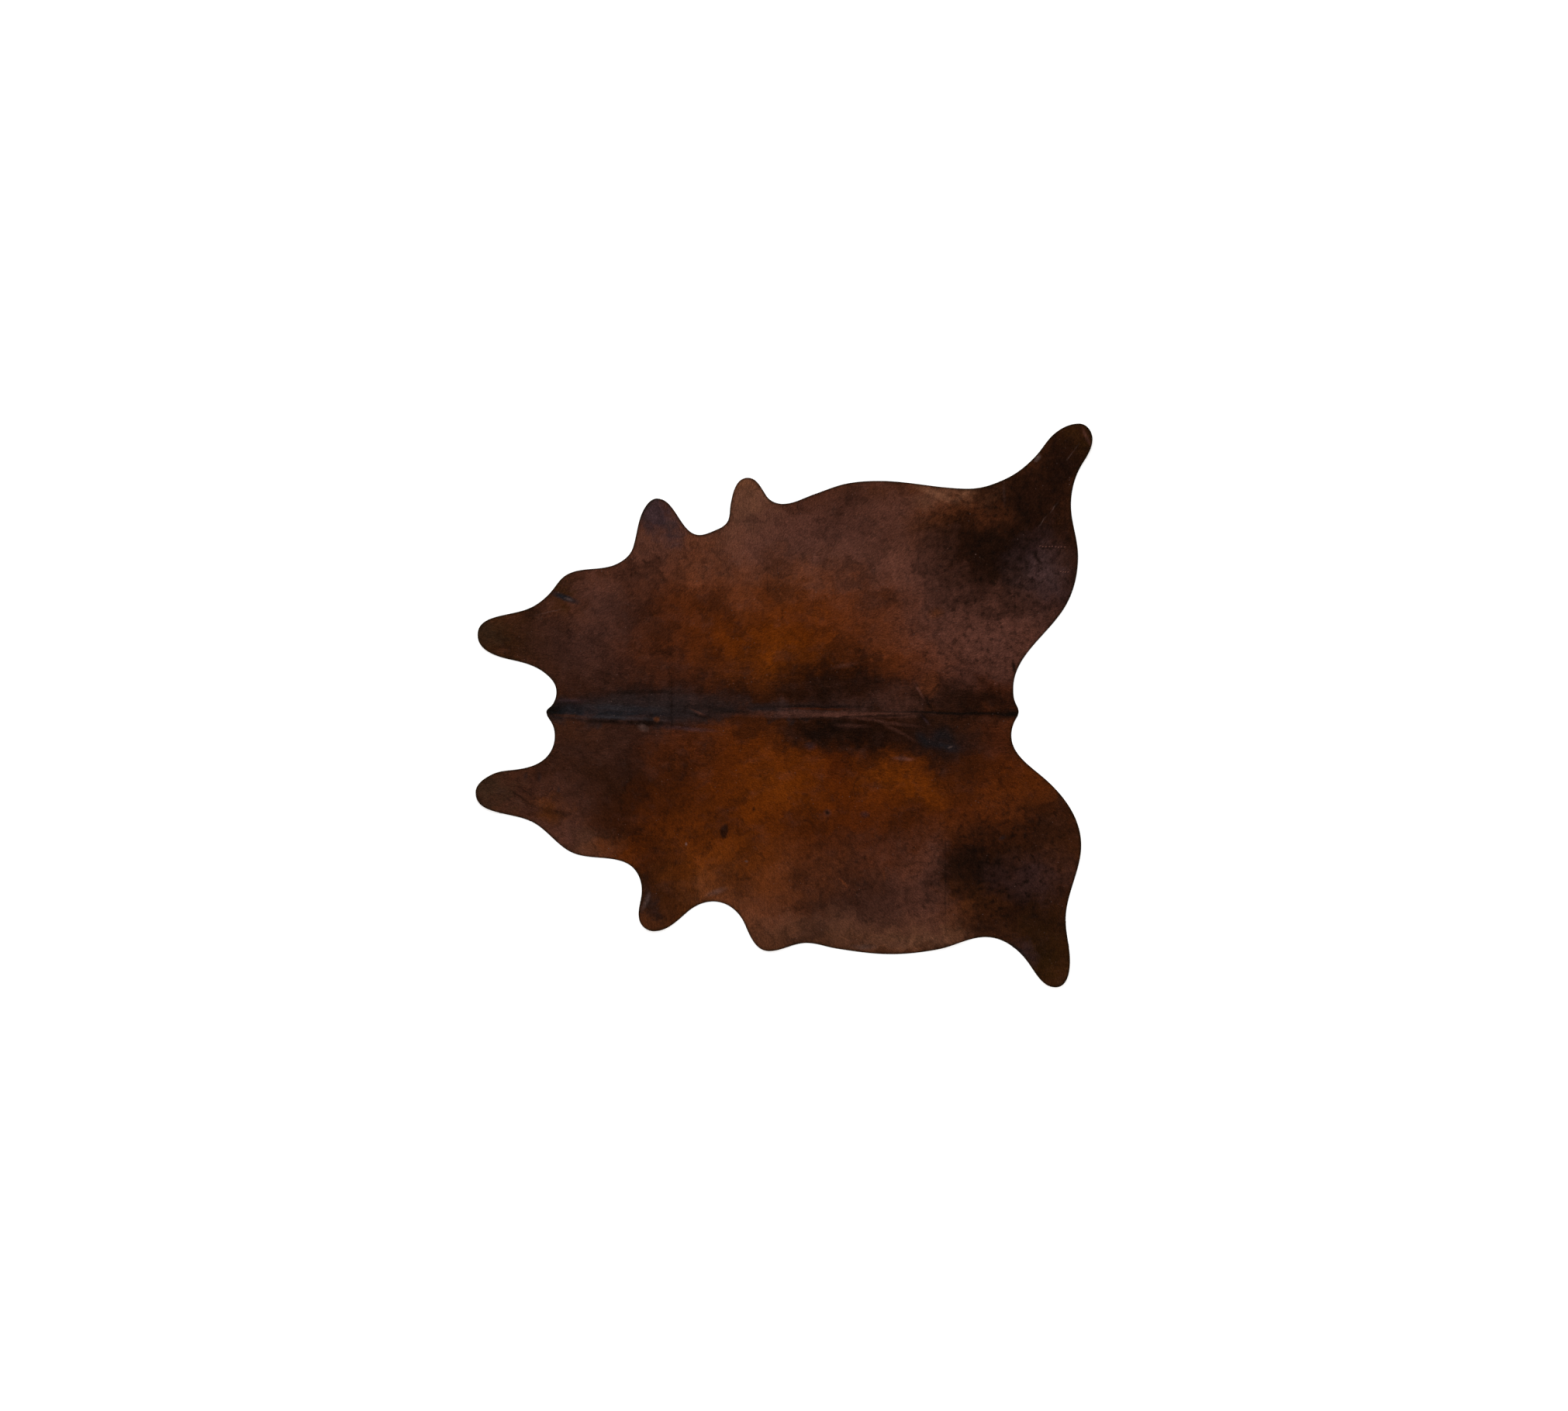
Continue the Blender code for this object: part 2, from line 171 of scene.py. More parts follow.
coatPatches = patches(
    ("lobe", -110, 260, 170, 100, "olive", 0.75, 0.7, 8),
    ("lobe tip", -215, 285, 55, 80, "drab", 0.75, 0.7),
    ("neck side", 185, 330, 200, 190, "plum", 0.85),
    ("cheek", 175, 445, 85, 50, "rose", 0.45),
    ("neck corner", 55, 425, 55, 26, "olive", 0.8, 0.6, 68),
    ("neck corner, low", 120, 350, 80, 38, "honey", 0.3, 0.9, -15),
    ("shoulder", 400, 190, 235, 140, "plum", 0.6, 0.9),
    ("shoulder, dark", 400, 240, 200, 165, "dusk", 0.95, 0.9),
    ("neck, low", 60, 190, 130, 130, "dusk", 0.6, 0.9),
    ("shoulder, low", 450, 320, 175, 95, "smoke", 0.6, 0.9),
    ("neck, light", 190, 270, 80, 110, "rose", 0.3, 0.9),
    ("shoulder mark", 300, 470, 25, 70, "umber", 0.5, 0.8, 10),
    ("shoulder smear", 378, 385, 30, 36, "umber", 0.4, 0.8, 20),
    ("between the legs", 573, 604, 18, 22, "rust", 0.55),
    ("foreleg", 370, 600, 95, 130, "rose", 0.6),
    ("foreleg tip", 400, 715, 100, 55, "slate", 0.95, 0.6, -37),
    ("foreleg, dark", 435, 675, 32, 20, "smoke", 0.55, 0.8, -30),
    ("foreleg, front edge", 352, 748, 20, 45, "smoke", 0.7, 0.8, -20),
    ("behind the foreleg", 540, 450, 165, 100, "amber", 0.5, 0.9),
    ("second flap", 705, 715, 90, 140, "beige", 0.75),
    ("under the second flap", 700, 565, 170, 130, "rose", 0.75, 0.9),
    ("under the second flap, warm", 660, 520, 130, 90, "honey", 0.35, 0.9),
    ("belly", 1055, 645, 275, 150, "plum", 0.85),
    ("belly, front", 900, 560, 150, 110, "rose", 0.5, 0.9),
    ("belly, back", 1300, 535, 250, 165, "rose", 0.3, 0.9),
    ("belly fold", 1055, 710, 40, 100, "umber", 0.4, 0.8, -20),
    ("belly edge", 1260, 750, 165, 70, "rose", 0.4),
    # painted highlight on the lit facets of the flank fold
    ("flank fold", 1460, 780, 115, 40, "beige", 0.5, 0.6),
    ("flank streak", 1495, 690, 140, 60, "honey", 0.6),
    ("over the barrel", 1020, 460, 290, 90, "rose", 0.8, 0.9),
    ("over the barrel, warm", 880, 440, 170, 80, "honey", 0.45, 0.9),
    ("barrel", 875, 230, 415, 185, "amber", 0.9),
    ("barrel, bright", 815, 165, 170, 95, "gold", 0.85, 0.9),
    ("barrel, high", 985, 355, 195, 65, "amber", 0.6),
    ("barrel, front", 610, 215, 185, 165, "amber", 0.6, 0.9),
    ("barrel, back", 1235, 230, 210, 125, "amber", 0.6, 0.9),
    ("loin shadow", 1000, 125, 150, 85, "umber", 1.0, 0.7),
    ("loin shadow, back", 1180, 125, 220, 45, "umber", 0.9),
    ("over the withers", 480, 120, 190, 70, "dusk", 0.55, 0.9),
    ("rump", 1605, 245, 195, 195, "plum", 0.9),
    ("rump, low", 1415, 105, 195, 60, "plum", 0.6),
    ("rump, amber front", 1295, 175, 95, 70, "amber", 0.5, 0.9),
    ("rump, front", 1425, 370, 125, 150, "plum", 0.45, 0.9),
    ("by the tail, right", 1620, 65, 105, 45, "russet", 0.8, 0.7),
    ("over the tail", 1540, 30, 140, 36, "umber", 0.75),
    ("thigh", 1620, 605, 185, 205, "umber", 0.9, 0.7),
    ("thigh, dark", 1560, 545, 130, 110, "sable", 0.8),
    ("thigh, high", 1720, 700, 110, 115, "sable", 0.95),
    ("thigh, warm", 1520, 705, 100, 50, "rust", 0.35, 0.9),
    ("leg", 1820, 840, 250, 100, "umber", 1.0, 0.7, 58),
    ("foot", 1915, 975, 50, 60, "olive", 0.7),
    ("leg, front edge", 1795, 935, 50, 28, "umber", 0.6, 0.8, 50),
    ("hip", 1790, 480, 105, 125, "slate", 0.75),
    ("hip, front", 1660, 480, 60, 90, "sable", 0.5),
    ("hip edge", 1885, 615, 35, 135, "umber", 0.65),
    ("hip, low", 1865, 380, 60, 85, "umber", 0.35),
    ("hip, dark", 1845, 440, 50, 60, "umber", 0.4),
    ("before the thigh", 1420, 430, 110, 90, "plum", 0.6, 0.9),
    ("hip, sheen", 1785, 505, 80, 50, "ash", 0.08, 0.9, 25),
    ("rump, high", 1430, 310, 260, 100, "rose", 0.45, 0.9),
    ("rump, far back", 1700, 270, 130, 140, "rose", 0.35, 0.9),
    ("thigh, front", 1480, 580, 115, 125, "umber", 0.8, 0.6),
    ("before the thigh, light", 1395, 470, 55, 110, "rose", 0.35, 0.9),
    ("lobe", -100, -295, 175, 95, "plum", 0.55),
    ("lobe tip", -205, -280, 75, 80, "drab", 0.8, 0.7),
    ("neck", 90, -140, 150, 115, "dusk", 0.75, 0.9),
    ("cheek", 75, -410, 130, 110, "rose", 0.75, 0.9),
    ("neck corner", 5, -340, 65, 65, "umber", 0.65),
    ("lobe, warm", 5, -345, 75, 40, "honey", 0.6, 0.8, -25),
    ("shoulder", 345, -330, 180, 160, "umber", 1.0, 0.9),
    ("shoulder, back", 520, -240, 160, 120, "umber", 0.6, 0.9),
    ("neck, back", 410, -105, 175, 90, "dusk", 0.85, 0.9),
    ("withers", 485, -120, 195, 85, "plum", 0.35, 0.9),
    ("shoulder, low", 450, -400, 170, 100, "amber", 0.7, 0.9),
    ("shoulder edge, front", 190, -510, 80, 60, "beige", 0.5, 0.9),
    ("shoulder, low dark", 330, -435, 130, 50, "umber", 0.6, 0.8, -15),
    ("shoulder, dark", 330, -330, 150, 130, "umber", 0.5, 0.9),
    ("shoulder, dark high", 520, -235, 150, 85, "umber", 0.55, 0.9),
    ("shoulder smear", 494, -280, 55, 26, "umber", 0.5, 0.8, 15),
    ("shoulder smear, low", 355, -448, 65, 20, "umber", 0.5, 0.8, -10),
    ("shoulder edge", 325, -520, 130, 55, "amber", 0.9),
    ("withers, dark", 510, -150, 160, 110, "umber", 0.35, 0.9),
    ("foreleg", 460, -600, 110, 110, "umber", 0.95),
    ("foreleg, middle", 455, -590, 85, 75, "sable", 0.7, 0.9),
    ("foreleg scuff", 368, -680, 30, 45, "smoke", 0.6, 0.8, -15),
    ("armpit", 680, -570, 170, 170, "honey", 0.95, 0.9),
    ("armpit edge", 635, -645, 100, 65, "beige", 0.5),
    ("second flap", 730, -685, 90, 95, "rose", 0.4, 0.9),
    ("barrel, front", 690, -345, 235, 210, "amber", 0.75, 0.9),
    ("barrel, high", 700, -130, 230, 85, "amber", 0.65, 0.9),
    ("barrel", 985, -250, 290, 145, "amber", 0.95),
    ("barrel, back", 1275, -255, 265, 110, "amber", 0.95),
    ("barrel, bright", 1175, -235, 140, 55, "gold", 0.5),
    ("barrel, dark gap", 1040, -215, 75, 110, "russet", 0.85, 0.9),
    ("barrel, bright back", 1355, -285, 90, 55, "gold", 0.6),
    ("barrel, bright middle", 845, -350, 120, 150, "gold", 0.5, 0.9),
    ("barrel, low", 920, -465, 320, 95, "amber", 0.8, 0.9),
    ("under the barrel", 1070, -420, 200, 80, "russet", 0.8, 0.9),
    ("under the barrel, back", 1110, -510, 180, 80, "russet", 0.75, 0.9),
    ("belly", 1110, -635, 320, 120, "plum", 0.9),
    ("belly, front", 860, -685, 140, 100, "rose", 0.4, 0.9),
    ("belly, dark", 1040, -650, 150, 85, "dusk", 0.85, 0.9),
    ("belly, low", 1060, -800, 370, 65, "beige", 0.4, 0.9),
    ("belly, back", 1300, -670, 165, 125, "rose", 0.3, 0.9),
    ("belly, dark back", 1160, -650, 90, 70, "dusk", 0.45, 0.9),
    ("belly, warm front", 770, -620, 165, 115, "honey", 0.4, 0.9),
    ("belly, warm", 1030, -555, 250, 110, "chestnut", 0.4, 0.9),
    ("armpit, gold", 670, -620, 165, 110, "gold", 0.35, 0.9),
    ("flank, amber", 900, -540, 200, 100, "amber", 0.3, 0.9),
    # painted highlight on the lit facets of the flank fold
    ("flank fold", 1340, -815, 140, 35, "beige", 0.6, 0.6),
    ("belly edge", 900, -815, 150, 35, "umber", 0.35),
    ("thigh", 1570, -595, 160, 145, "umber", 0.85, 0.7),
    ("thigh, dark", 1500, -565, 90, 90, "sable", 0.85, 0.7),
    ("hip, dark band", 1745, -425, 115, 65, "umber", 0.6),
    ("thigh, low", 1700, -675, 110, 60, "sable", 0.6),
    ("thigh streak", 1520, -680, 85, 60, "honey", 0.4),
    ("before the thigh", 1375, -600, 45, 140, "rose", 0.4),
    ("thigh, back", 1745, -755, 165, 125, "umber", 0.9),
    ("leg", 1785, -890, 110, 135, "olive", 0.95),
    ("leg scuff", 1700, -855, 45, 30, "slate", 0.5, 0.8, -40),
    ("hip, low", 1755, -585, 125, 65, "slate", 0.45),
    ("hip", 1775, -440, 140, 100, "umber", 0.6, 0.9),
    ("rump", 1690, -235, 170, 110, "amber", 0.7),
    ("by the tail, left", 1605, -100, 115, 95, "russet", 0.8),
    ("rump, rose", 1570, -100, 95, 50, "rose", 0.1),
    ("rump, front", 1495, -365, 150, 100, "russet", 0.5),
    ("loin shadow, far", 1360, -90, 210, 80, "umber", 0.9),
    ("loin scar", 1400, -90, 110, 55, "smoke", 0.5, 0.8, -15),
    ("behind the scar", 1480, -220, 95, 65, "umber", 0.6),
    ("loin shadow", 990, -75, 165, 60, "umber", 1.0, 0.7),
    ("loin shadow, back", 1190, -85, 220, 55, "umber", 0.95, 0.7),
    ("loin, darkest", 1010, -85, 120, 45, "sable", 0.75, 0.8, -8),
    ("loin, darkest", 990, 70, 90, 26, "sable", 0.6),
    ("dorsal shade", 600, 45, 750, 62, "umber", 0.7),
    ("dorsal shade, back", 1220, 35, 450, 55, "umber", 0.85),
    ("dorsal slate, front", 235, 5, 265, 40, "smoke", 0.9, 0.6),
    ("dorsal slate, middle", 430, 20, 165, 55, "smoke", 0.8),
    ("dorsal slate, back", 860, 6, 320, 18, "smoke", 0.7, 0.7),
    # painted highlight and sheen: the light band along the raised spine of the loin
    ("dorsal rose", 1150, 30, 210, 22, "rose", 0.25),
    ("dorsal rose, back", 1265, 45, 90, 45, "rose", 0.3),
    ("spine, dark front", 400, 45, 150, 35, "sable", 0.25, 0.9),
    ("spine, dark back", 1130, 45, 290, 38, "sable", 0.3, 0.9),
)

# Narrow bands in the coat, and the painted shade and highlights of creases, along the spine and the folds,
# which stay straight
coatLines = patches(
    ("stripe, front", 180, 4, 208, 26, "smoke", 0.85, 0.6),
    ("stripe, widest", 402, 20, 160, 44, "smoke", 0.75, 0.7, 3),
    ("stripe, left band", 260, -21, 130, 8, "steel", 0.8, 0.5, -3),
    ("stripe, blue band", 275, 13, 150, 12, "steel", 0.7, 0.6, -2),
    ("stripe, grey edge", 85, 40, 55, 6, "slate", 0.8, 0.6),
    ("stripe, dull band", 330, 45, 190, 20, "smoke", 0.6),
    ("line over the stripe", 345, 72, 120, 6, "sable", 0.7, 0.7, 1),
    ("line in the stripe", 245, -6, 220, 7, "ink", 0.9, 0.6, -1),
    ("line through the stripe", 640, 9, 80, 6, "sable", 0.75, 0.7, -8),
    ("line under the stripe", 290, -38, 180, 9, "sable", 0.85, 0.6, -3),
    ("before the withers", 500, -6, 70, 22, "smoke", 0.75, 0.7),
    ("nub, fading", 70, 8, 90, 20, "ink", 0.85, 0.7, -2),
    ("nub at the neck", 19, 0, 39, 25, "black", 0.9, 0.7),
    ("thigh, front edge", 1485, -575, 62, 85, "umber", 0.6, 0.4),
    ("orange line by the nub", 85, -14, 40, 4, "chestnut", 0.5, 0.7, -3),
    # painted highlight and painted shade of the withers crease
    ("withers crease, light", 543, -3, 30, 4, "rose", 0.55, 0.6, -27),
    ("withers crease, under", 556, -17, 36, 6, "sable", 0.75, 0.7, -14),
    ("withers crease, dark", 610, 9, 80, 9, "sable", 0.8, 0.7, -6),
    ("stripe, behind the withers", 817, 11, 222, 14, "smoke", 0.8),
    ("stripe, loin", 1025, -8, 249, 11, "rose", 0.7, 0.7),
    ("orange line on the loin", 970, 11, 100, 4, "russet", 0.7, 0.7),
    ("dark line on the loin", 900, 19, 180, 4, "sable", 0.65, 0.7),
    # painted shade in the crease on the loin
    ("crease on the loin", 1122, -17, 263, 4, "sable", 0.75, 0.7, 2),
    ("dark line at the rump", 1430, -3, 240, 4, "black", 0.85, 0.6, -1),
    ("nub at the tail", 1665, -6, 42, 14, "black", 0.95, 0.7),
    ("tail line", 1593, -6, 111, 6, "sable", 0.8, 0.7),
    ("fan, first", 1191, -33, 100, 5, "rose", 0.4, 0.8, -8),
    ("fan, second", 1240, -62, 70, 5, "rose", 0.25, 0.8, -28),
)

# Scars, scuffs and spots, and the painted shade and highlights of wrinkles, folds and creases
coatMarks = patches(
    ("brown spot in the stripe", 393, -27, 11, 8, "honey", 0.6, 0.5),
    ("grey patch", 346, -58, 17, 10, "ash", 0.35, 0.5, -25),
    ("grey patch, second", 510, -61, 78, 7, "slate", 0.55, 0.6, -4),
    # painted shade along the storage folds
    ("storage line, withers", 447, 40, 3, 90, "sable", 0.45, 0.7),
    ("storage line, thigh", 1424, -610, 3, 120, "sable", 0.5, 0.7),
    ("storage line, right rump", 1672, 430, 3, 90, "sable", 0.35, 0.7),
    ("storage line, belly", 1330, 560, 3, 120, "sable", 0.3, 0.7),
    # painted shade in the lobe's wrinkles
    ("lobe, first wrinkle", -96, -301, 53, 3, "sable", 0.6, 0.7, -34),
    ("lobe, second wrinkle", -75, -285, 40, 2.5, "sable", 0.5, 0.7, -32),
    ("lobe, third wrinkle", -125, -315, 40, 2.5, "sable", 0.45, 0.7, -30),
    ("lobe, first spot", -74, -230, 6, 10, "smoke", 0.55, 0.7),
    ("lobe, second spot", -25, -232, 6, 14, "smoke", 0.55, 0.7),
    ("lobe, third spot", 44, -279, 5, 10, "smoke", 0.55, 0.7),
    ("spot over the withers", 554, 78, 14, 14, "sable", 0.5),
    ("scar, upper", 1402, -84, 30, 15, "ink", 0.7, 0.8, 35),
    ("scar, upper back", 1436, -92, 18, 13, "ink", 0.6, 0.8, -30),
    ("scar, lower", 1415, -121, 55, 14, "ink", 0.85, 0.7, -9),
    ("scar, glint", 1440, -124, 8, 3, "ash", 0.4, 0.6, 20),
    ("scar, front", 1345, -99, 26, 14, "ink", 0.75, 0.7, -50),
    # painted shade and painted highlight of a knotted crease over the scar
    ("knot over the scar", 1340, -20, 28, 12, "sable", 0.7, 0.6, -50),
    ("knot over the scar, light", 1352, -30, 18, 4, "slate", 0.6, 0.6, -50),
    ("healed cut, fill", 1368, 100, 32, 46, "rust", 0.75, 0.35, -18),
    ("healed cut, right edge", 1382, 78, 42, 4, "sable", 0.5, 0.5, 47),
    ("healed cut, left edge", 1332, 73, 30, 4, "rose", 0.6, 0.5, -60),
    # painted shade in the crease from the cut
    ("crease from the cut", 1365, 30, 34, 5, "sable", 0.7, 0.6, -62),
    ("pimple rim", 1003, -360, 11, 11, "rose", 0.5, 0.5),
    ("pimple", 1003, -360, 7, 7, "sable", 0.8, 0.5),
    ("dark oval", 636, -427, 14, 26, "umber", 0.9, 0.25, -12),
    ("dark oval, second", 740, -345, 6, 9, "sable", 0.7, 0.5),
    ("violet spot", 1136, -366, 13, 10, "slate", 0.45, 0.7),
    ("amber spot, rump", 1391, 352, 22, 14, "honey", 0.5, 0.7, 20),
    ("slit by the tail", 1668, 163, 5, 24, "sable", 0.8, 0.6, 8),
    # painted highlights on the flank fold's lit facets, and painted shade in its corner
    ("flank fold, front light", 1391, 778, 65, 11, "beige", 0.55, 0.6, -20),
    ("flank fold, back light", 1490, 776, 36, 9, "beige", 0.45, 0.6, 35),
    ("flank fold, corner", 1457, 752, 14, 8, "sable", 0.6, 0.7),
    ("parting", 789, 465, 2, 60, "sable", 0.35, 0.7),
    ("parting, second", 826, 500, 2, 45, "sable", 0.3, 0.7, 3),
    ("foreleg squiggle", 609, 440, 20, 3, "sable", 0.4, 0.7, -50),
    ("cut on the hip", 1756, 546, 6, 22, "sable", 0.85, 0.7, 42),
    ("thigh scratch", 1770, 679, 20, 1.8, "ash", 0.32, 0.7, 55),
    ("thigh scratch, second", 1812, 731, 20, 1.8, "ash", 0.3, 0.7, 54),
    ("pale streak", 1634, 784, 4, 40, "ash", 0.12),
    # dark line in the right neck corner's crease: partly a dark scab, partly painted shade in the crease
    ("corner crease, right", 68, 408, 46, 10, "ink", 0.95, 0.5, -20),
    ("corner crease, glint", 79, 403, 13, 4, "ash", 0.35, 0.6, -20),
    ("pale line, corner", 15, 357, 42, 2, "ash", 0.2, 0.6, 12),
    # painted shade in the left neck corner's crease
    ("corner crease, left", 42, -360, 44, 11, "sable", 0.6, 0.7, -12),
    ("scuff on the armpit", 607, -643, 28, 8, "ash", 0.4, 0.8, 20),
    ("scuff on the belly edge", 1133, -839, 33, 8, "ash", 0.35),
    ("scuff on the foreleg", 354, -680, 7, 26, "ash", 0.55, 0.7, -22),
    ("scuff on the right leg", 1753, 905, 12, 7, "ash", 0.75, 0.6, 50),
    ("foot, pale strip", 1930, 978, 34, 5, "rose", 0.45, 0.6, -63),
    # painted shade along the foot's turned edge
    ("foot, turned edge", 1946, 998, 34, 10, "umber", 0.85, 0.6, -63),
    ("leg scratch", 1870, 915, 18, 1.6, "ash", 0.28, 0.6, 53),
    ("leg scratch, second", 1892, 945, 14, 1.6, "ash", 0.28, 0.6, 58),
    ("scuff on the left leg", 1690, -850, 34, 6, "ink", 0.6, 0.7, -40),
    ("blue spot on the thigh", 1627, -450, 12, 6, "ink", 0.6, 0.7, 20),
    ("light fleck", 499, -471, 3, 6, "ash", 0.6, 0.6),
    ("light fleck, second", 714, -532, 4, 4, "ash", 0.6, 0.6),
    ("belly scratch", 867, -554, 22, 4, "rust", 0.6, 0.6, 40),
    ("belly scratch, second", 970, -580, 18, 4, "rust", 0.6, 0.6, 15),
    ("belly scratch, third", 1058, -607, 20, 4, "rust", 0.8, 0.6, -50),
    ("belly scratch, fourth", 942, -615, 22, 4, "rust", 0.5, 0.6, 20),
    ("belly scratch, fifth", 1205, -585, 4, 20, "rust", 0.4, 0.6, 10),
    ("light fleck, barrel", 1274, -166, 30, 6, "rose", 0.6, 0.6, -3),
    ("light fleck, loin", 942, -122, 17, 12, "slate", 0.45, 0.7),
    ("light fleck, barrel back", 1094, -50, 45, 5, "rose", 0.35, 0.8, -3),
    ("light patch, barrel", 1066, 166, 33, 6, "rose", 0.3, 0.8, 10),
)

# Where the coat is mottled with small dark and light tufts
coatMottles = patches(
    ("both loins", 1150, 20, 400, 200, "full", 0.5),
    ("rump", 1550, 220, 220, 200, "full", 0.6),
    ("thigh", 1640, 600, 270, 270, "full", 1.0, 0.6),
    ("leg", 1820, 850, 220, 130, "full", 0.7, 0.8, 55),
    ("thigh", 1640, -560, 260, 260, "full", 1.0, 0.6),
    ("belly", 1100, -560, 300, 130, "full", 0.5),
    ("shoulder", 450, -450, 180, 220, "full", 0.5),
    ("shoulder", 380, 420, 150, 150, "full", 0.4),
)

coat = {
    "under": "chestnut",  # the colour that the patches are laid on
    "wander": ((0.16, 0.14), (0.045, 0.11), (0.014, 0.045)),  # size and reach of the patches' waves
    "steady": ((0.05, 0.012), (0.015, 0.005)),  # the same for bands, creases and marks
    "brightness": 1.06,
    "clouds": ((0.150, 0.45, 0.38), (0.046, 0.36, 0.32)),  # size, and how dark and how light they turn
    "mottles": (0.024, 0.80, 0.55),  # the same where the coat is mottled
    "lifts": (1.6, 1.7, 1.9),  # how much lighter clouds, mottles and scratches turn at most
    "napSheen": (0.060, 0.17),  # size and share of the painted nap sheen, dull rose patches where the lay of the hair reflects
    "across": (0.090, 0.008, 0.35),  # length, width and contrast of the streaks down the flanks
    "specks": (0.0050, 0.79, 0.8),  # size, rarity and share of the pale dust
    "clumps": (0.016, 0.58),  # size and contrast of the tufts' light and dark
    "flecks": (0.0034, 1.7),
    "tips": (0.10, 0.9, 0.45),  # the light flecks: share of beige, how much lighter, and its share
    "scratches": (0.120, 0.005, 0.35),  # size of their curves, width and share
    "streaks": (0.110, 0.008, 0.9, 0.30),  # length, width, contrast, and how far from the spine they fade
    "tipSheen": (0.050, 0.06),  # size and share of the painted tip sheen, a frosty grey light on the hair's tips
    "grain": (0.0016, 0.016, 0.2),  # width, length and contrast of a hair's streak
    "edge": (linear(17, 11, 3), 0.92),  # colour and share of the dark rim: the trimmed leather, with painted shade where the hair rolls over the edge
    "specular": 0.012,
    "roughness": (0.56, 0.24),
    "bump": 0.0008,
}


def laidOut(start):  # where a point is on the hide, with its height left out
    place = start.node("TexCoord", output=3)
    values = {"Vector": place, "Location": (-nubX, -spineY, 0.0), "Scale": (1.0, 1.0, 0.0)}
    return place.node("Mapping", {"vector_type": "POINT"}, values)


def wandered(place, waves):  # pushes a place about, so that what is laid there has wavy edges
    moved = place
    for size, reach in waves:
        push = place.noise(size, 2.0, 0.5, 1).vectors("SUBTRACT", (0.5, 0.5, 0.5))
        push = push.vectors("MULTIPLY", (reach, reach, 0.0))
        moved = moved.vectors("ADD", push)
    return moved


def laid(colour, place, rows):  # each row's colour, as a soft oval over what is there
    sideways = place.vectors("CROSS_PRODUCT", (0.0, 0.0, 1.0))
    for row in rows:
        along, out, long, wide = (size / 1000 for size in (row.along, row.out, row.long, row.wide))
        cosine, sine = math.cos(math.radians(row.turn)), math.sin(math.radians(row.turn))
        middle = (along * cosine + out * sine, out * cosine - along * sine)
        values = {0: place, 1: (cosine / long, cosine / wide, 0.0)}
        values[2] = (-middle[0] / long, -middle[1] / wide, 0.0)
        local = place.node("VectorMath", {"operation": "MULTIPLY_ADD"}, values)
        if row.turn:
            values = {0: sideways, 1: (sine / long, sine / wide, 0.0), 2: local}
            local = place.node("VectorMath", {"operation": "MULTIPLY_ADD"}, values)
        slope = row.strength / (2 * row.soft)
        values = {0: local.vectors("LENGTH", local, 1), 1: -slope, 2: slope * (1 + row.soft)}
        share = place.node("Math", {"operation": "MULTIPLY_ADD"}, values)
        share = share.maths("MINIMUM", share, row.strength)
        colour = colour.mixed(coatColours[row.colour], share)
    return colour


def material(name):
    made = bpy.data.materials.new(name)
    made.use_nodes = True
    made.node_tree.nodes.clear()
    return made, Wire(made.node_tree)


def finished(start, values):  # the shader itself and the output
    shader = start.node("BsdfPrincipled", {}, values)
    start.node("OutputMaterial", {}, {"Surface": shader})


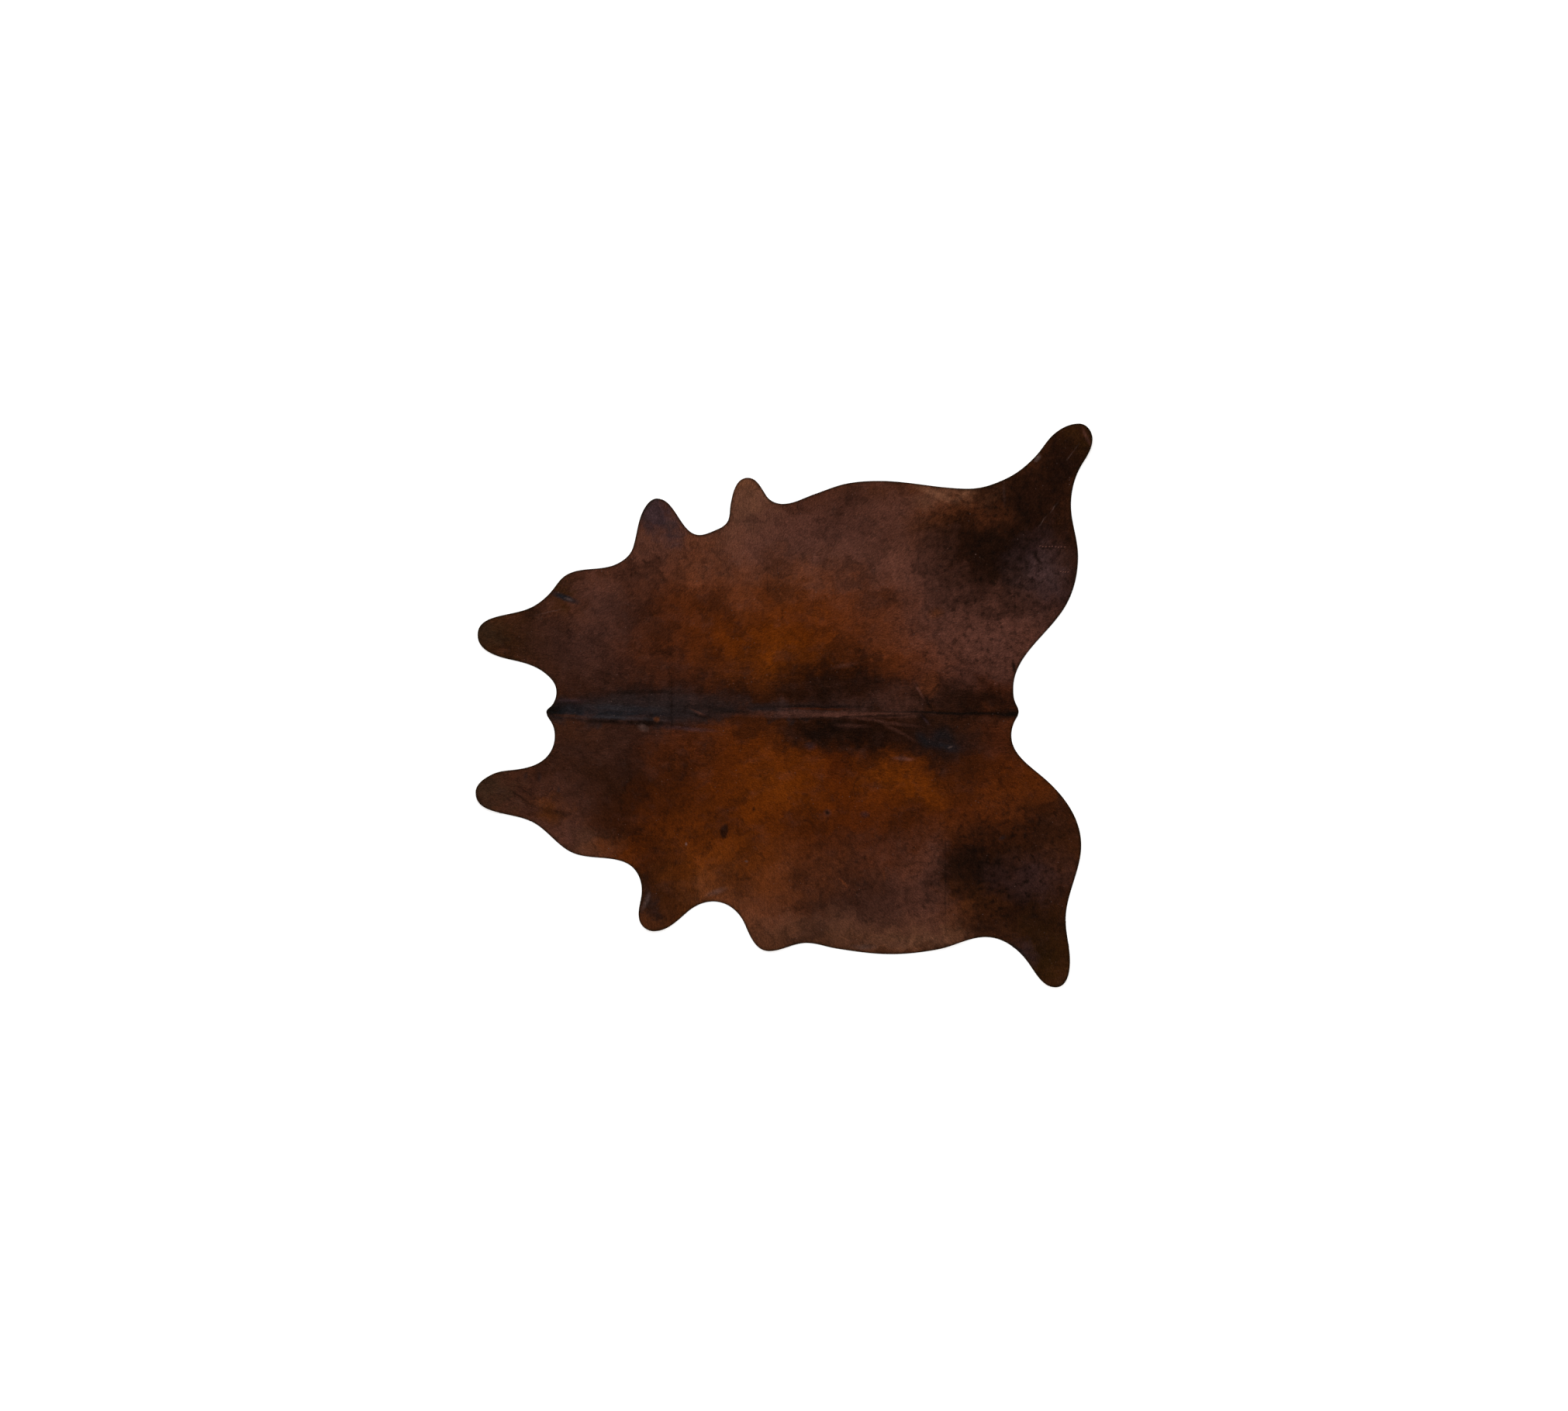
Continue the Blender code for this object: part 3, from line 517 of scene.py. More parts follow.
def hairCoat():
    made, start = material("hair_coat")
    place = laidOut(start)
    wavy = wandered(place, coat["wander"])
    steady = wandered(place, coat["steady"])

    first = start.plain(coatColours[coat["under"]])
    colour = laid(first, wavy, coatPatches)
    colour = laid(colour, steady, coatLines + coatMarks)

    cloudLift, mottleLift, scratchLift = coat["lifts"]
    for size, dark, light in coat["clouds"]:
        clouds = wavy.noise(size, 6.0, 0.68)
        colour = colour.mixed(coatColours["sable"], clouds.eased(0.52, 0.34, 0.0, dark))
        colour = colour.mixed(colour.scaled(cloudLift), clouds.eased(0.50, 0.68, 0.0, light))
    mottled = laid(first.scaled(0.0), wavy, coatMottles)
    clear = 1 - mottled  # dark, mottled coat stays free of the painted nap sheen and tip sheen
    napSheenSize, napSheenShare = coat["napSheen"]
    # painted sheen: dull rose patches where the nap of the hair reflects
    napSheen = steady.vectors("MULTIPLY", (0.6, 1.0, 1.0)).noise(napSheenSize, 4.0, 0.6)
    colour = colour.mixed(coatColours["rose"], napSheen.eased(0.50, 0.74, 0.0, napSheenShare) * clear)
    mottleSize, dark, light = coat["mottles"]
    mottles = place.noise(mottleSize, 4.0, 0.65)
    colour = colour.mixed(coatColours["sable"], mottled.scaled(mottles.eased(0.50, 0.34, 0.0, dark)))
    colour = colour.mixed(colour.scaled(mottleLift), mottled.scaled(mottles.eased(0.52, 0.68, 0.0, light)))

    clumpSize, clumpContrast = coat["clumps"]
    fleckSize, fleckContrast = coat["flecks"]
    clumps = place.noise(clumpSize, 4.0, 0.65) - 0.5
    fine = place.noise(fleckSize, 3.0, 0.65)
    flecks = fine - 0.5
    grainWide, grainLong, grainContrast = coat["grain"]
    grain = place.vectors("MULTIPLY", (grainWide / grainLong, 1.0, 1.0)).noise(grainWide, 2.0, 0.6) - 0.5
    shade = start.node("Attribute", {"attribute_name": "shade"}, output=2)
    edge = start.node("Attribute", {"attribute_name": "edge"}, output=2)
    streakLong, streakWide, streakContrast, streakReach = coat["streaks"]
    drawn = steady.vectors("MULTIPLY", (streakWide / streakLong, 1.0, 1.0))
    acrossLong, acrossWide, acrossContrast = coat["across"]
    across = steady.vectors("MULTIPLY", (1.0, acrossWide / acrossLong, 1.0)).noise(acrossWide, 3.0, 0.6) - 0.5
    out = place.node("SeparateXYZ", {}, {"Vector": place}, 1)
    nearSpine = abs(out).eased(0.0, streakReach, streakContrast, streakContrast * 0.25)
    streaks = (drawn.noise(streakWide, 4.0, 0.62) - 0.5) * nearSpine
    light = 1 + clumps * clumpContrast + flecks * fleckContrast + grain * grainContrast + shade + streaks
    light = (light + across * (acrossContrast - nearSpine * 0.3)) * coat["brightness"]

    # painted sheen: a frosty grey light on the hair's tips
    tipSheenSize, tipSheenShare = coat["tipSheen"]
    tipSheenMask = place.noise(tipSheenSize, 5.0, 0.7).eased(0.52, 0.75, 0.0, tipSheenShare)
    colour = colour.mixed(coatColours["ash"], tipSheenMask * clear)
    beigeShare, lighter, lightShare = coat["tips"]
    tips = fine.eased(0.50, 0.85)
    colour = colour.mixed(coatColours["beige"], tips * beigeShare)
    colour = colour.mixed(colour.scaled(1 + lighter), tips * lightShare)
    colour = colour.scaled(light)

    scratchSize, scratchWidth, scratchShare = coat["scratches"]
    scratches = abs(wavy.noise(scratchSize, 2.0) - 0.5).eased(scratchWidth, 0.0, 0.0, scratchShare)
    broken = place.noise(scratchSize * 0.6, 3.0).eased(0.50, 0.60)
    colour = colour.mixed(colour.scaled(scratchLift), scratches * broken)
    speckSize, rarity, speckShare = coat["specks"]
    specks = place.noise(speckSize, 0.0).eased(rarity, rarity + 0.05, 0.0, speckShare)
    colour = colour.mixed(coatColours["ash"], specks * broken)
    # the dark rim is the trimmed leather plus painted shade where the hair rolls over the edge
    edgeColour, edgeShare = coat["edge"]
    colour = colour.mixed(edgeColour, edge * edgeShare)

    roughLow, roughSpread = coat["roughness"]
    roughness = roughLow + clumps * roughSpread
    height = grain * 0.5 + flecks
    bump = start.node("Bump", {}, {"Height": height, "Distance": coat["bump"], "Strength": 0.8})
    finished(start, {
        "Base Color": colour,
        "Roughness": roughness,
        "Normal": bump,
        "Specular IOR Level": coat["specular"],
    })
    return made


flesh = {
    "suede": linear(196, 174, 150),
    "shadow": linear(150, 124, 100),
    "vein": linear(134, 104, 82),
    "blotches": 0.22,
    "nap": 0.0022,
    "veinSize": 0.16,
    "veinWidth": 0.009,
    "veinShare": 0.20,
    "bump": 0.0006,
}


def fleshSuede():  # the underside
    made, start = material("flesh_suede")
    place = laidOut(start)
    wavy = wandered(place, [(0.06, 0.05)])
    blotches = wavy.noise(flesh["blotches"], 4.0, 0.6)
    nap = place.noise(flesh["nap"], 3.0, 0.7)
    base = start.plain(flesh["suede"], flesh["shadow"], blotches)
    vein = abs(wavy.noise(flesh["veinSize"], 3.0) - 0.5)
    vein = vein.eased(0.0, flesh["veinWidth"], flesh["veinShare"], 0.0)
    showing = place.noise(flesh["veinSize"], 2.0).eased(0.46, 0.60)  # veins come up here and there
    colour = base.mixed(flesh["vein"], vein * showing)
    colour = colour.scaled(0.8 + nap * 0.4)
    bump = start.node("Bump", {}, {"Height": nap, "Distance": flesh["bump"], "Strength": 1.0})
    finished(start, {
        "Base Color": colour,
        "Roughness": 0.85 + (nap - 0.5) * 0.2,
        "Normal": bump,
        "Specular IOR Level": 0.15,
        "Sheen Weight": 0.25,
    })
    return made


hairMaterial = hairCoat()
fleshMaterial = fleshSuede()
print("the materials are wired")

# Fine creases and ridges of the skin, each a soft ridge from one end to the other that dies
# away at both: halfWidth and height in metres
Crease = namedtuple("Crease", "name along1 out1 along2 out2 halfWidth height")
creaseRows = [
    ("ridge along the loin", 0.78, 0.017, 1.33, 0.014, 0.022, 0.0022),
    ("withers, right pucker", 0.12, 0.062, 0.56, 0.074, 0.02, 0.0016),
    ("withers, left pucker", 0.08, -0.03, 0.52, -0.046, 0.02, 0.0016),
    ("withers cross fold", 0.44, 0.11, 0.435, -0.04, 0.018, 0.0014),
    ("neck corner, right", 0.02, 0.4, 0.13, 0.43, 0.022, 0.002),
    ("neck corner, left", -0.01, -0.35, 0.1, -0.37, 0.022, 0.002),
    ("lobe, first wrinkle", -0.19, -0.27, -0.11, -0.345, 0.018, 0.0012),
    ("lobe, second wrinkle", -0.15, -0.255, -0.07, -0.34, 0.018, 0.0012),
    ("lobe, third wrinkle", -0.11, -0.245, -0.03, -0.33, 0.018, 0.0012),
    ("storage fold, front", 0.44, 0.38, 0.442, -0.06, 0.02, 0.0012),
    ("storage fold, barrel", 0.815, 0.26, 0.82, -0.24, 0.022, 0.001),
    ("storage fold, flank", 1.43, -0.48, 1.445, -0.8, 0.022, 0.0014),
    ("storage fold, thigh", 1.64, 0.85, 1.6, 0.5, 0.024, 0.0014),
    ("flank, first facet", 1.33, 0.8, 1.4, 0.7, 0.026, 0.0024),
    ("flank, second facet", 1.41, 0.81, 1.47, 0.72, 0.026, 0.0024),
    ("flank, first facet", 1.27, -0.81, 1.34, -0.74, 0.026, 0.0022),
    ("flank, second facet", 1.36, -0.82, 1.4, -0.74, 0.024, 0.0022),
    ("fan from the loin, first", 1.14, -0.02, 1.3, -0.08, 0.02, 0.0014),
    ("fan from the loin, second", 1.2, 0.03, 1.36, 0.12, 0.022, 0.0014),
    ("foreleg", 0.4, 0.48, 0.4, 0.66, 0.03, 0.002),
    ("second flap", 0.69, 0.56, 0.71, 0.74, 0.032, 0.0022),
    ("foreleg", 0.48, -0.48, 0.42, -0.65, 0.03, 0.002),
    ("hock", 1.69, -0.73, 1.79, -0.88, 0.028, 0.002),
    ("hock", 1.7, 0.75, 1.83, 0.93, 0.03, 0.0022),
    ("repair", 1.7, 0.59, 1.86, 0.59, 0.016, 0.0012),
]

skin = {
    "thickness": 0.0022,  # the skin and the roots of its hair
    "step": 0.0095,  # from point to point of the fine mesh
    "facing": 0.5,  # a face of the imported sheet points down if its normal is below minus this
    "weld": 0.00001,
    "settling": 7,  # rounds in which each point's height turns to its neighbours' mean
    "lumps": (0.050, 0.0005, 3),  # size, height and seed of the coat's own unevenness
    "rimTurn": 0.004,  # how far the rim is laid out past the hair side on the map
    "mapMargin": 0.01,
    "fleshMap": (0.01, 0.78, 0.20),  # corner and size of the flesh side on the map
    "sharp": 50,  # degrees between faces, from which an edge shows
}


def softNoise(places, size, seed):  # smooth lumps from -1 to 1, size metres apart
    rng = np.random.default_rng(seed)
    grid = rng.uniform(-1, 1, (256, 256))
    scaled = places / size + 128
    cell = np.floor(scaled).astype(int)
    part = scaled - cell
    part = part * part * (3 - 2 * part)
    x0, y0 = cell[:, 0] % 256, cell[:, 1] % 256
    x1, y1 = (x0 + 1) % 256, (y0 + 1) % 256
    near = grid[x0, y0] * (1 - part[:, 0]) + grid[x1, y0] * part[:, 0]
    far = grid[x0, y1] * (1 - part[:, 0]) + grid[x1, y1] * part[:, 0]
    return near * (1 - part[:, 1]) + far * part[:, 1]


def creaseHeight(places):
    along, out = places[:, 0] - nubX, places[:, 1] - spineY
    height = np.zeros(len(places))
    for crease in (Crease(*row) for row in creaseRows):
        start = np.array([crease.along1, crease.out1])
        run = np.array([crease.along2, crease.out2]) - start
        length = np.hypot(*run)
        fromStart = np.stack([along, out], 1) - start
        share = fromStart @ run / length**2
        aside = (fromStart[:, 0] * run[1] - fromStart[:, 1] * run[0]) / length
        across = np.clip(1 - (aside / crease.halfWidth) ** 2, 0, 1) ** 2
        endFade = np.clip(1 - (2 * share - 1) ** 2, 0, 1) ** 0.7
        height += crease.height * across * endFade
    return height


def packedUnderside():
    under = bmesh.new()
    under.from_mesh(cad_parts["hide"].data)
    bmesh.ops.remove_doubles(under, verts=under.verts, dist=skin["weld"])
    others = [face for face in under.faces if face.normal.z > -skin["facing"]]
    bmesh.ops.delete(under, geom=others, context="FACES")
    return under


def smoothOutline(under):  # the hide's edge in order, anticlockwise, with a point put between each two
    edge = next(edge for edge in under.edges if edge.is_boundary)
    first = point = edge.verts[0]
    ring = []
    while not ring or point != first:
        ring.append(point.co.xy)
        point = edge.other_vert(point)
        edge = next(other for other in point.link_edges if other.is_boundary and other != edge)
    ring = np.array(ring)
    nextOnes = np.roll(ring, -1, axis=0)
    if (ring[:, 0] * nextOnes[:, 1] - ring[:, 1] * nextOnes[:, 0]).sum() < 0:
        ring = ring[::-1]
    before, after, later = (np.roll(ring, turn, axis=0) for turn in (1, -1, -2))
    between = (9 * (ring + after) - before - later) / 16
    return np.stack([ring, between], 1).reshape(-1, 2)


class Rim:  # the hide's edge, to ask how far inside it a place is and which way is out there
    def __init__(self, ring):
        after = np.roll(ring, -1, axis=0)
        run = after - ring
        self.middles = (ring + after) / 2
        self.outward = np.stack([run[:, 1], -run[:, 0]], 1) / np.hypot(*run.T)[:, None]
        self.tree = KDTree(len(ring))
        for index, middle in enumerate(self.middles):
            self.tree.insert((*middle, 0.0), index)
        self.tree.balance()

    def depth(self, places):
        nearest = np.array([self.tree.find((*place, 0.0))[1] for place in places])
        outward = self.outward[nearest]
        return ((self.middles[nearest] - places) * outward).sum(1), outward


def lattice(low, high, step):  # points in even triangles
    rows = []
    for number, y in enumerate(np.arange(low[1], high[1], step * math.sqrt(0.75))):
        x = np.arange(low[0] + step / 2 * (number % 2), high[0], step)
        rows.append(np.stack([x, np.full(len(x), y)], 1))
    return np.concatenate(rows)


def settled(heights, edges, rounds):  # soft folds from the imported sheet's flat faces
    count = np.bincount(edges.ravel(), minlength=len(heights))
    for _ in range(rounds):
        total = np.bincount(edges[:, 0], heights[edges[:, 1]], len(heights))
        total += np.bincount(edges[:, 1], heights[edges[:, 0]], len(heights))
        heights = (heights + total / count) / 2
    return heights


def fleshSurface():  # the underside as a fine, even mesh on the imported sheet's folds
    under = packedUnderside()
    ring = smoothOutline(under)
    rim = Rim(ring)
    inner = lattice(ring.min(0), ring.max(0), skin["step"])
    inner = inner[rim.depth(inner)[0] > skin["step"] * 0.6]
    points = [Vector(place) for place in np.concatenate([ring, inner])]
    outline = [list(range(len(ring)))]
    flat, edges, faces = delaunay_2d_cdt(points, [], outline, 1, skin["weld"])[:3]
    flat, edges, faces = np.array(flat), np.array(edges), np.array(faces)

    tree = BVHTree.FromBMesh(under)
    under.free()
    heights = np.array([tree.find_nearest((*place, 0.0))[0].z for place in flat])
    heights = settled(np.maximum(heights, 0), edges, skin["settling"])
    heights += creaseHeight(flat)
    return np.column_stack([flat, heights]), faces, rim


def cornerNormals(points, faces):  # each point's normal, from the faces round it
    a, b, c = (points[faces[:, corner]] for corner in range(3))
    cross = np.cross(b - a, c - a)
    normals = np.zeros_like(points)
    for corner in range(3):
        np.add.at(normals, faces[:, corner], cross)
    return normals / np.linalg.norm(normals, axis=1)[:, None]


def skinShape():
    below, faces, rim = fleshSurface()
    count = len(below)
    starts, ends = faces.ravel(), np.roll(faces, -1, axis=1).ravel()
    isRim = ~np.isin(starts * count + ends, ends * count + starts)
    rimStarts, rimEnds = starts[isRim], ends[isRim]
    edge = np.zeros(count)
    edge[rimStarts] = 1.0

    size, height, seed = skin["lumps"]
    lumps = softNoise(below[:, :2], size, seed) * height * (1 - edge)
    above = below + cornerNormals(below, faces) * (skin["thickness"] + lumps)[:, None]
    rimFaces = np.concatenate([
        np.stack([rimStarts, rimEnds, rimEnds + count], 1),
        np.stack([rimStarts, rimEnds + count, rimStarts + count], 1),
    ])
    allFaces = np.concatenate([faces + count, faces[:, ::-1], rimFaces])
    return np.concatenate([below, above]), allFaces, len(faces), np.concatenate([edge, edge]), rim


def meshPiece(name, points, faces, materials):
    mesh = bpy.data.meshes.new(name)
    mesh.from_pydata(points.tolist(), [], faces.tolist())
    for made in materials:
        mesh.materials.append(made)
    piece = bpy.data.objects.new(name, mesh)
    bpy.context.scene.collection.objects.link(piece)
    return piece


def setAttribute(piece, name, values):
    made = piece.data.attributes.new(name, "FLOAT", "POINT")
    made.data.foreach_set("value", values)


def setMap(piece, places):  # places: one pair of 0 to 1 for each corner of each face
    made = piece.data.uv_layers.new(name="OFBake")
    made.uv.foreach_set("vector", places.ravel())


def makeSkin():
    points, faces, count, edge, rim = skinShape()
    piece = meshPiece("hide_skin", points, faces, [hairMaterial, fleshMaterial])
    slots = np.zeros(len(faces), int)
    slots[count:2 * count] = 1
    piece.data.polygons.foreach_set("material_index", slots)
    piece.data.shade_smooth()
    piece.data.set_sharp_from_angle(angle=math.radians(skin["sharp"]))
    setAttribute(piece, "edge", edge)

    low = points[:, :2].min(0) - skin["mapMargin"]
    size = (points[:, :2].max(0) + skin["mapMargin"] - low).max()
    mapped = (points[faces, :2] - low) / size
    cornerX, cornerY, share = skin["fleshMap"]
    mapped[count:2 * count] = mapped[count:2 * count] * share + (cornerX, cornerY)
    underRim = faces[2 * count:] < len(points) // 2
    outward = rim.depth(points[faces[2 * count:], :2].reshape(-1, 2))[1].reshape(-1, 3, 2)
    mapped[2 * count:] += outward * underRim[:, :, None] * skin["rimTurn"] / size
    setMap(piece, mapped)
    return piece, points, faces[:count], rim


skinPiece, skinPoints, hairFaces, hideRim = makeSkin()
print("the skin is shaped:", len(skinPiece.data.polygons), "faces")

# Which way the hair lies, in degrees from the neck-to-tail line: it runs back along the
# spine, down over both flanks and on down the legs.
Lay = namedtuple("Lay", "name along out heading")
layRows = [
    ("neck", 0.05, 0.0, 0),
    ("withers", 0.45, 0.0, 0),
    ("loin", 1.1, 0.0, 0),
    ("tail", 1.6, 0.0, 0),
    ("lobe", -0.15, 0.25, 12),
    ("cheek", 0.15, 0.4, 35),
    ("shoulder", 0.4, 0.35, 48),
    ("foreleg", 0.42, 0.66, 84),
    ("barrel", 0.9, 0.3, 30),
    ("flap", 0.7, 0.7, 80),
    ("belly", 1.05, 0.65, 48),
    ("flank", 1.45, 0.72, 40),
    ("rump", 1.6, 0.25, 28),
    ("thigh", 1.68, 0.6, 55),
    ("foot", 1.88, 0.92, 62),
    ("lobe", -0.15, -0.28, -12),
    ("cheek", 0.1, -0.42, -35),
    ("shoulder", 0.4, -0.35, -48),
    ("foreleg", 0.42, -0.64, -88),
    ("barrel", 0.9, -0.3, -30),
    ("flap", 0.74, -0.78, -78),
    ("belly", 1.05, -0.68, -48),
    ("flank", 1.45, -0.75, -40),
    ("rump", 1.62, -0.3, -28),
    ("thigh", 1.68, -0.62, -60),
    ("foot", 1.8, -0.92, -78),
]

pile = {
    "pieces": ["neck", "withers", "loin", "rump"],  # the pile is made in this many lengths
    "locks": 186000,  # in all
    "length": (0.009, 0.015),
    "width": (0.0013, 0.0022),
    "rise": (0.0004, 0.0009),
    "sink": 0.0004,  # how deep a lock's root is in the skin
    "ridge": 0.35,  # where a lock is thickest, as a share of its length
    "stray": 9.0,  # degrees that one lock turns from the lay
    "swirls": ((0.09, 9.0), (0.022, 9.0)),  # size, and degrees that locks turn together
    "tone": 0.035,  # how much one lock's shade differs from the next one's
    "facing": 0.05,  # a lock that turns to the rim more than this is cut to its room
    "edgeReach": 0.0075,  # how near the rim a hair turns dark, for the trimmed leather and the painted shade where the hair rolls over it
    "seed": 11,
}


def hairHeading(along, out):  # the lay at each place, as a unit vector
    total = np.zeros((len(along), 2))
    for lay in (Lay(*row) for row in layRows):
        weight = 1 / ((along - lay.along) ** 2 + (out - lay.out) ** 2 + 0.004) ** 1.5
        turn = math.radians(lay.heading)
        total += weight[:, None] * (math.cos(turn), math.sin(turn))
    return total / np.hypot(*total.T)[:, None]


def scatterRoots(points, faces, count, rng):  # even by area over the hair side
    a, b, c = (points[faces[:, corner]] for corner in range(3))
    cross = np.cross(b - a, c - a)
    area = np.linalg.norm(cross, axis=1)
    steps = (np.arange(count) + rng.uniform(0, 1, count)) / count
    chosen = np.searchsorted(np.cumsum(area) / area.sum(), steps).clip(0, len(area) - 1)
    u, v = rng.uniform(0, 1, (2, count))
    over = u + v > 1
    u[over], v[over] = 1 - u[over], 1 - v[over]
    roots = a[chosen] + (b - a)[chosen] * u[:, None] + (c - a)[chosen] * v[:, None]
    return roots, (cross / area[:, None])[chosen]


def between(limits, rng, count):
    return rng.uniform(*limits, count)


def makePile(points, faces, rim):
    rng = np.random.default_rng(pile["seed"])
    count = pile["locks"]
    roots, normals = scatterRoots(points, faces, count, rng)
    flat = roots[:, :2]
    turn = rng.normal(0, pile["stray"], count)
    for index, (size, degrees) in enumerate(pile["swirls"]):
        turn += softNoise(flat, size, 20 + index) * degrees
    turn = np.radians(turn)
    lay = hairHeading(flat[:, 0] - nubX, flat[:, 1] - spineY)
    heading = np.stack([lay[:, 0] * np.cos(turn) - lay[:, 1] * np.sin(turn),
                        lay[:, 0] * np.sin(turn) + lay[:, 1] * np.cos(turn)], 1)

    length = between(pile["length"], rng, count)
    inside, outward = rim.depth(flat)
    facing = (heading * outward).sum(1)
    room = np.maximum(inside, 0)  # no lock reaches past the skin's edge
    cut = np.minimum(length, room / np.maximum(facing, pile["facing"]))
    length = np.where(facing > pile["facing"], cut, length)
    width = between(pile["width"], rng, count)
    rise = between(pile["rise"], rng, count)

    run = np.concatenate([heading, np.zeros((count, 1))], 1)
    run -= normals * (run * normals).sum(1)[:, None]
    run /= np.linalg.norm(run, axis=1)[:, None]
    side = np.cross(normals, run) * (width / 2)[:, None]
    sunk = roots - normals * pile["sink"]
    crest = roots + run * (length * pile["ridge"])[:, None] + normals * rise[:, None]
    tip = roots + run * length[:, None] + normals * (rise * 0.8)[:, None]
    corners = np.stack([sunk - side, sunk + side, crest, tip], 1)

    tone = rng.normal(0, pile["tone"], count).clip(-0.2, 0.2)
    reached = np.stack([length * 0, length * 0, length * pile["ridge"], length], 1) * facing[:, None]
    edge = np.clip(1 - (inside[:, None] - reached) / pile["edgeReach"], 0, 1)
    lockFaces = np.array([[0, 2, 1], [0, 3, 2], [1, 2, 3], [0, 1, 3]])
    order = np.argsort(flat[:, 0])
    made = []
    for name, chosen in zip(pile["pieces"], np.array_split(order, len(pile["pieces"]))):
        locks = corners[chosen].reshape(-1, 3)
        shells = (lockFaces + 4 * np.arange(len(chosen))[:, None, None]).reshape(-1, 3)
        piece = meshPiece("pile_" + name, locks, shells, [hairMaterial])
        setAttribute(piece, "shade", np.repeat(tone[chosen], 4))
        setAttribute(piece, "edge", edge[chosen].ravel())
        low, high = locks[:, :2].min(0), locks[:, :2].max(0)
        setMap(piece, (locks[shells.ravel(), :2] - low) / (high - low))
        made.append(piece)
    return made


pilePieces = makePile(skinPoints, hairFaces, hideRim)
print("the pile is laid:", pile["locks"], "locks")

repair = {
    "seams": [((1.762, 0.592), (1.850, 0.588), 9), ((1.836, 0.501), (1.862, 0.500), 4)],
    "length": 0.0056,
    "thread": 0.0015,
    "lean": 30.0,  # degrees that a stitch leans from the seam
    "unevenness": (0.0012, 16.0),  # how far a stitch is off its place, and degrees off its lean
    "colour": linear(122, 74, 60),
    "thickness": 0.0012,
    "seed": 5,
}


def threadMaterial():
    made, start = material("waxed_thread")
    place = laidOut(start)
    twist = place.noise(0.0008, 2.0, 0.6)
    base = start.plain(repair["colour"])
    bump = start.node("Bump", {}, {"Height": twist, "Distance": 0.0002, "Strength": 0.7})
    finished(start, {
        "Base Color": base.scaled(0.75 + twist * 0.5),
        "Roughness": 0.55 + (twist - 0.5) * 0.3,
        "Normal": bump,
        "Specular IOR Level": 0.3,
    })
    return made


def skinHeight(points, tree, x, y):
    return points[tree.find((x, y, 0.0))[1]][2]


def makeRepair(points, faces):
    used = np.unique(faces)
    tree = KDTree(len(used))
    for index in used:
        tree.insert((points[index][0], points[index][1], 0.0), int(index))
    tree.balance()
    rng = np.random.default_rng(repair["seed"])
    aside, twist = repair["unevenness"]
    line = bpy.data.curves.new("repair_stitches", "CURVE")
    line.dimensions = "3D"
    line.bevel_depth = repair["thread"] / 2
    line.bevel_resolution = 2
    line.use_fill_caps = True
    for start, end, count in repair["seams"]:
        for place in np.linspace(start, end, count) + (nubX, spineY):
            middle = place + rng.uniform(-aside, aside, 2)
            heading = math.radians(repair["lean"] + rng.uniform(-twist, twist))
            reach = np.array([math.cos(heading), math.sin(heading)]) * repair["length"] / 2
            stitch = line.splines.new("POLY")
            stitch.points.add(6)
            for index, point in enumerate(stitch.points):
                share = index / 3 - 1
                x, y = middle + reach * share
                arch = repair["thickness"] * (1 - share**4)
                point.co = (x, y, skinHeight(points, tree, x, y) + arch, 1.0)
    curve = bpy.data.objects.new("repair_curve", line)
    bpy.context.scene.collection.objects.link(curve)
    mesh = bpy.data.meshes.new_from_object(curve.evaluated_get(bpy.context.evaluated_depsgraph_get()))
    bpy.data.objects.remove(curve)
    mesh.name = "repair_stitches"
    mesh.materials.clear()
    mesh.materials.append(threadMaterial())
    mesh.shade_smooth()
    piece = bpy.data.objects.new("repair_stitches", mesh)
    bpy.context.scene.collection.objects.link(piece)
    return piece


stitches = makeRepair(skinPoints, hairFaces)
print("the repair is stitched")

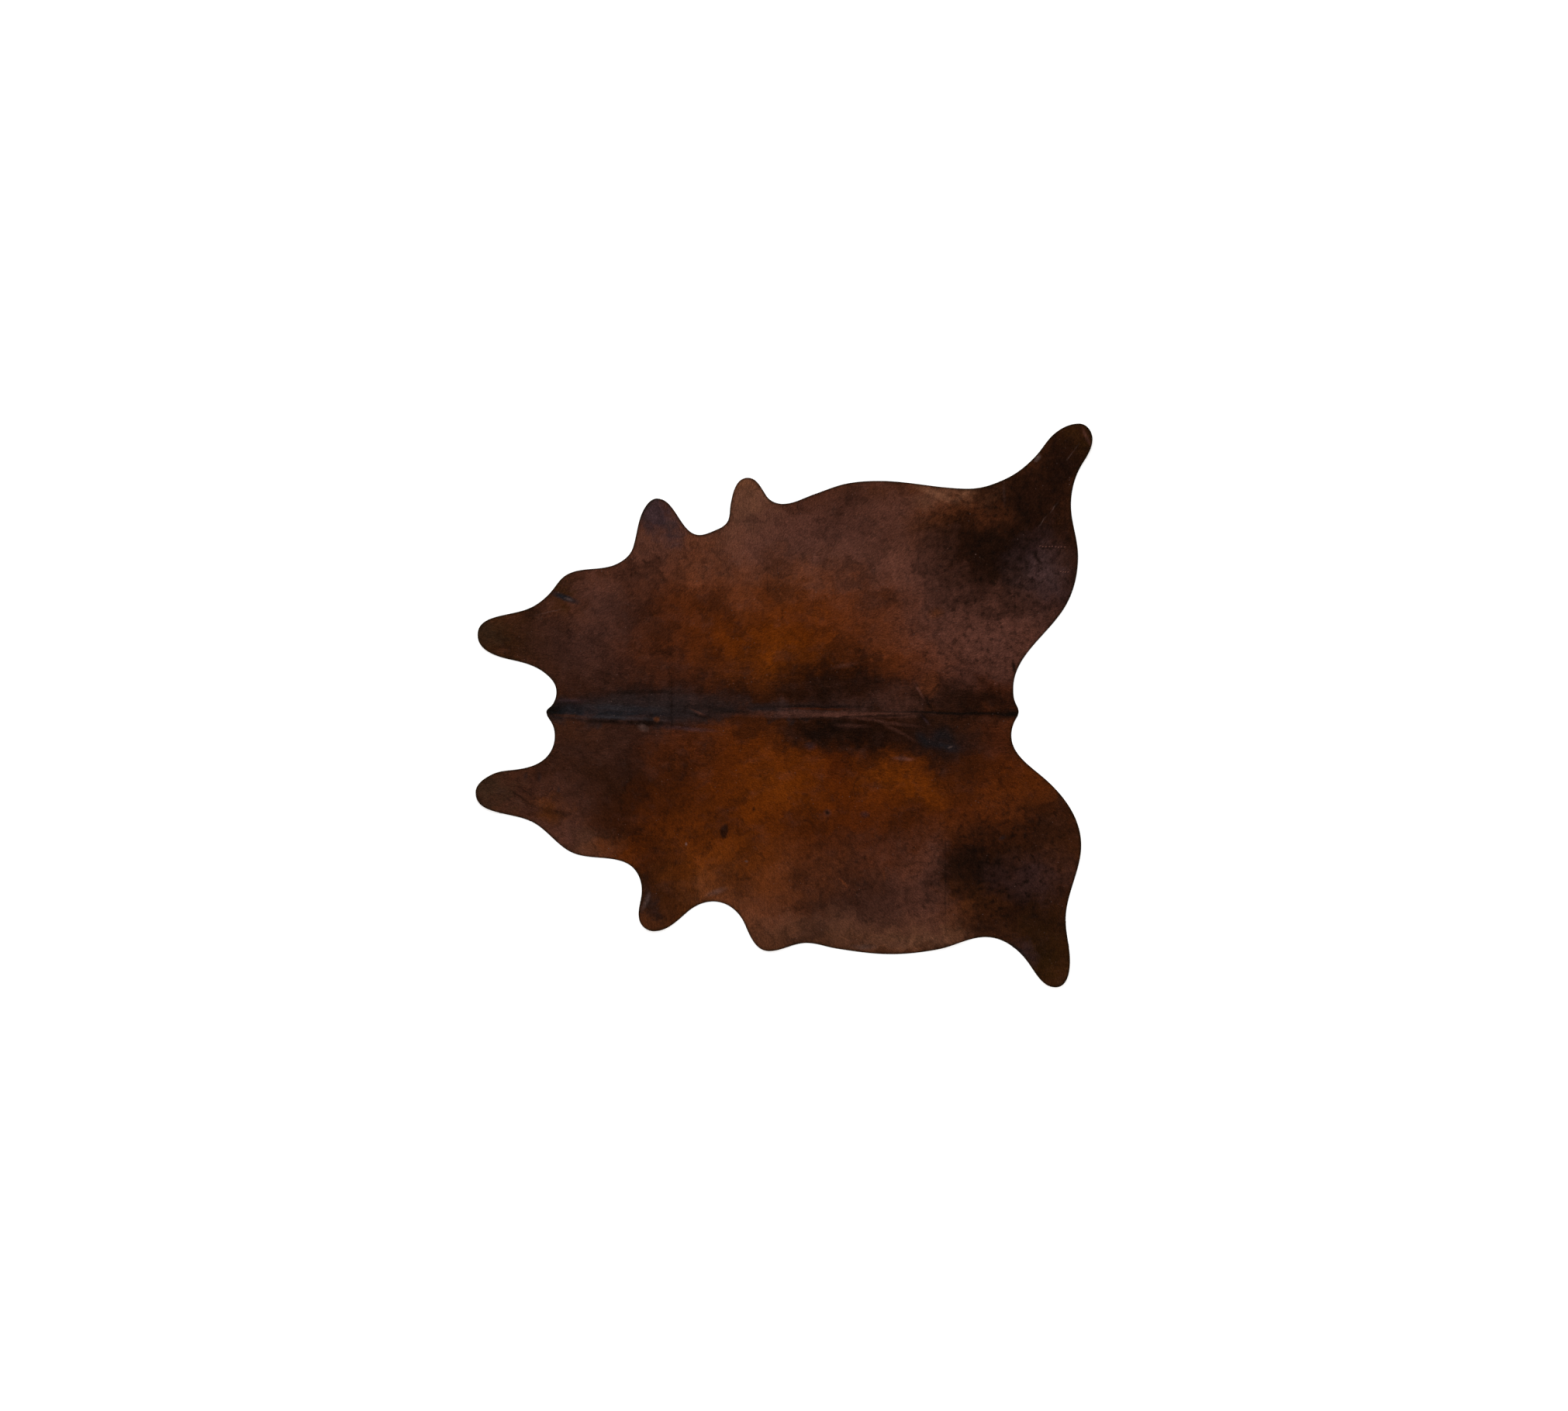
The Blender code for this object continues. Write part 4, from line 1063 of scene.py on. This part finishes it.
studio = {
    "floor": 24.0,
    "drop": 0.0006,  # the floor's gap under the hide
    "floorColour": linear(242, 242, 242),
    "sky": (1.0, 1.0, 1.0, 1.0),
    "skyStrength": 0.70,
    "floorGlow": 0.3,  # keeps the floor white in its corners too
    "floorMottle": (0.5, 0.02),  # size and share
    "lens": 85.0,
    "film": 36.0,
    "frameWidth": 5.598,  # the width of floor that the picture takes in
}
# Soft lamps: name, place, size, strength in watts
studioLamps = [
    ("key", (-1.5, 4.8, 4.2), 3.0, 230.0),
    ("fill", (2.5, -4.8, 4.6), 3.0, 90.0),
]


def makeStudio():
    half = studio["floor"] / 2
    corners = np.array([[-half, -half, 0], [half, -half, 0], [half, half, 0], [-half, half, 0]])
    made, start = material("studio_floor")
    place = start.node("TexCoord", output=3)
    size, share = studio["floorMottle"]
    mottle = place.noise(size, 2.0) * share
    base = start.plain(studio["floorColour"], studio["sky"], mottle)
    finished(start, {
        "Base Color": base,
        "Roughness": 0.9,
        "Specular IOR Level": 0.1,
        "Emission Color": studio["sky"],
        "Emission Strength": studio["floorGlow"],
    })
    floor = meshPiece("floor", corners - (0, 0, studio["drop"]), np.array([[0, 1, 2, 3]]), [made])

    world = bpy.data.worlds.new("studio")
    world.use_nodes = True
    world.node_tree.nodes.clear()
    air = Wire(world.node_tree)
    sky = air.node("Background", {}, {"Color": studio["sky"], "Strength": studio["skyStrength"]})
    air.node("OutputWorld", {}, {"Surface": sky})
    bpy.context.scene.world = world

    for name, place, size, watts in studioLamps:
        lamp = bpy.data.lights.new(name, "AREA")
        lamp.shape = "DISK"
        lamp.size = size
        lamp.energy = watts
        holder = bpy.data.objects.new(name, lamp)
        holder.location = place
        holder.rotation_euler = (-Vector(place)).to_track_quat("-Z", "Y").to_euler()
        bpy.context.scene.collection.objects.link(holder)


def makeCamera():  # straight above the middle of the hide
    lens = bpy.data.cameras.new("camera")
    lens.lens = studio["lens"]
    lens.sensor_width = studio["film"]
    camera = bpy.data.objects.new("camera", lens)
    camera.location = (0.0, 0.0, studio["frameWidth"] * studio["lens"] / studio["film"])
    bpy.context.scene.collection.objects.link(camera)
    bpy.context.scene.camera = camera


makeStudio()
makeCamera()
bpy.context.scene.view_settings.view_transform = "Standard"

for piece in [skinPiece, *pilePieces, stitches]:
    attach(piece, "root")
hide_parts("hide")
print("the studio is lit")
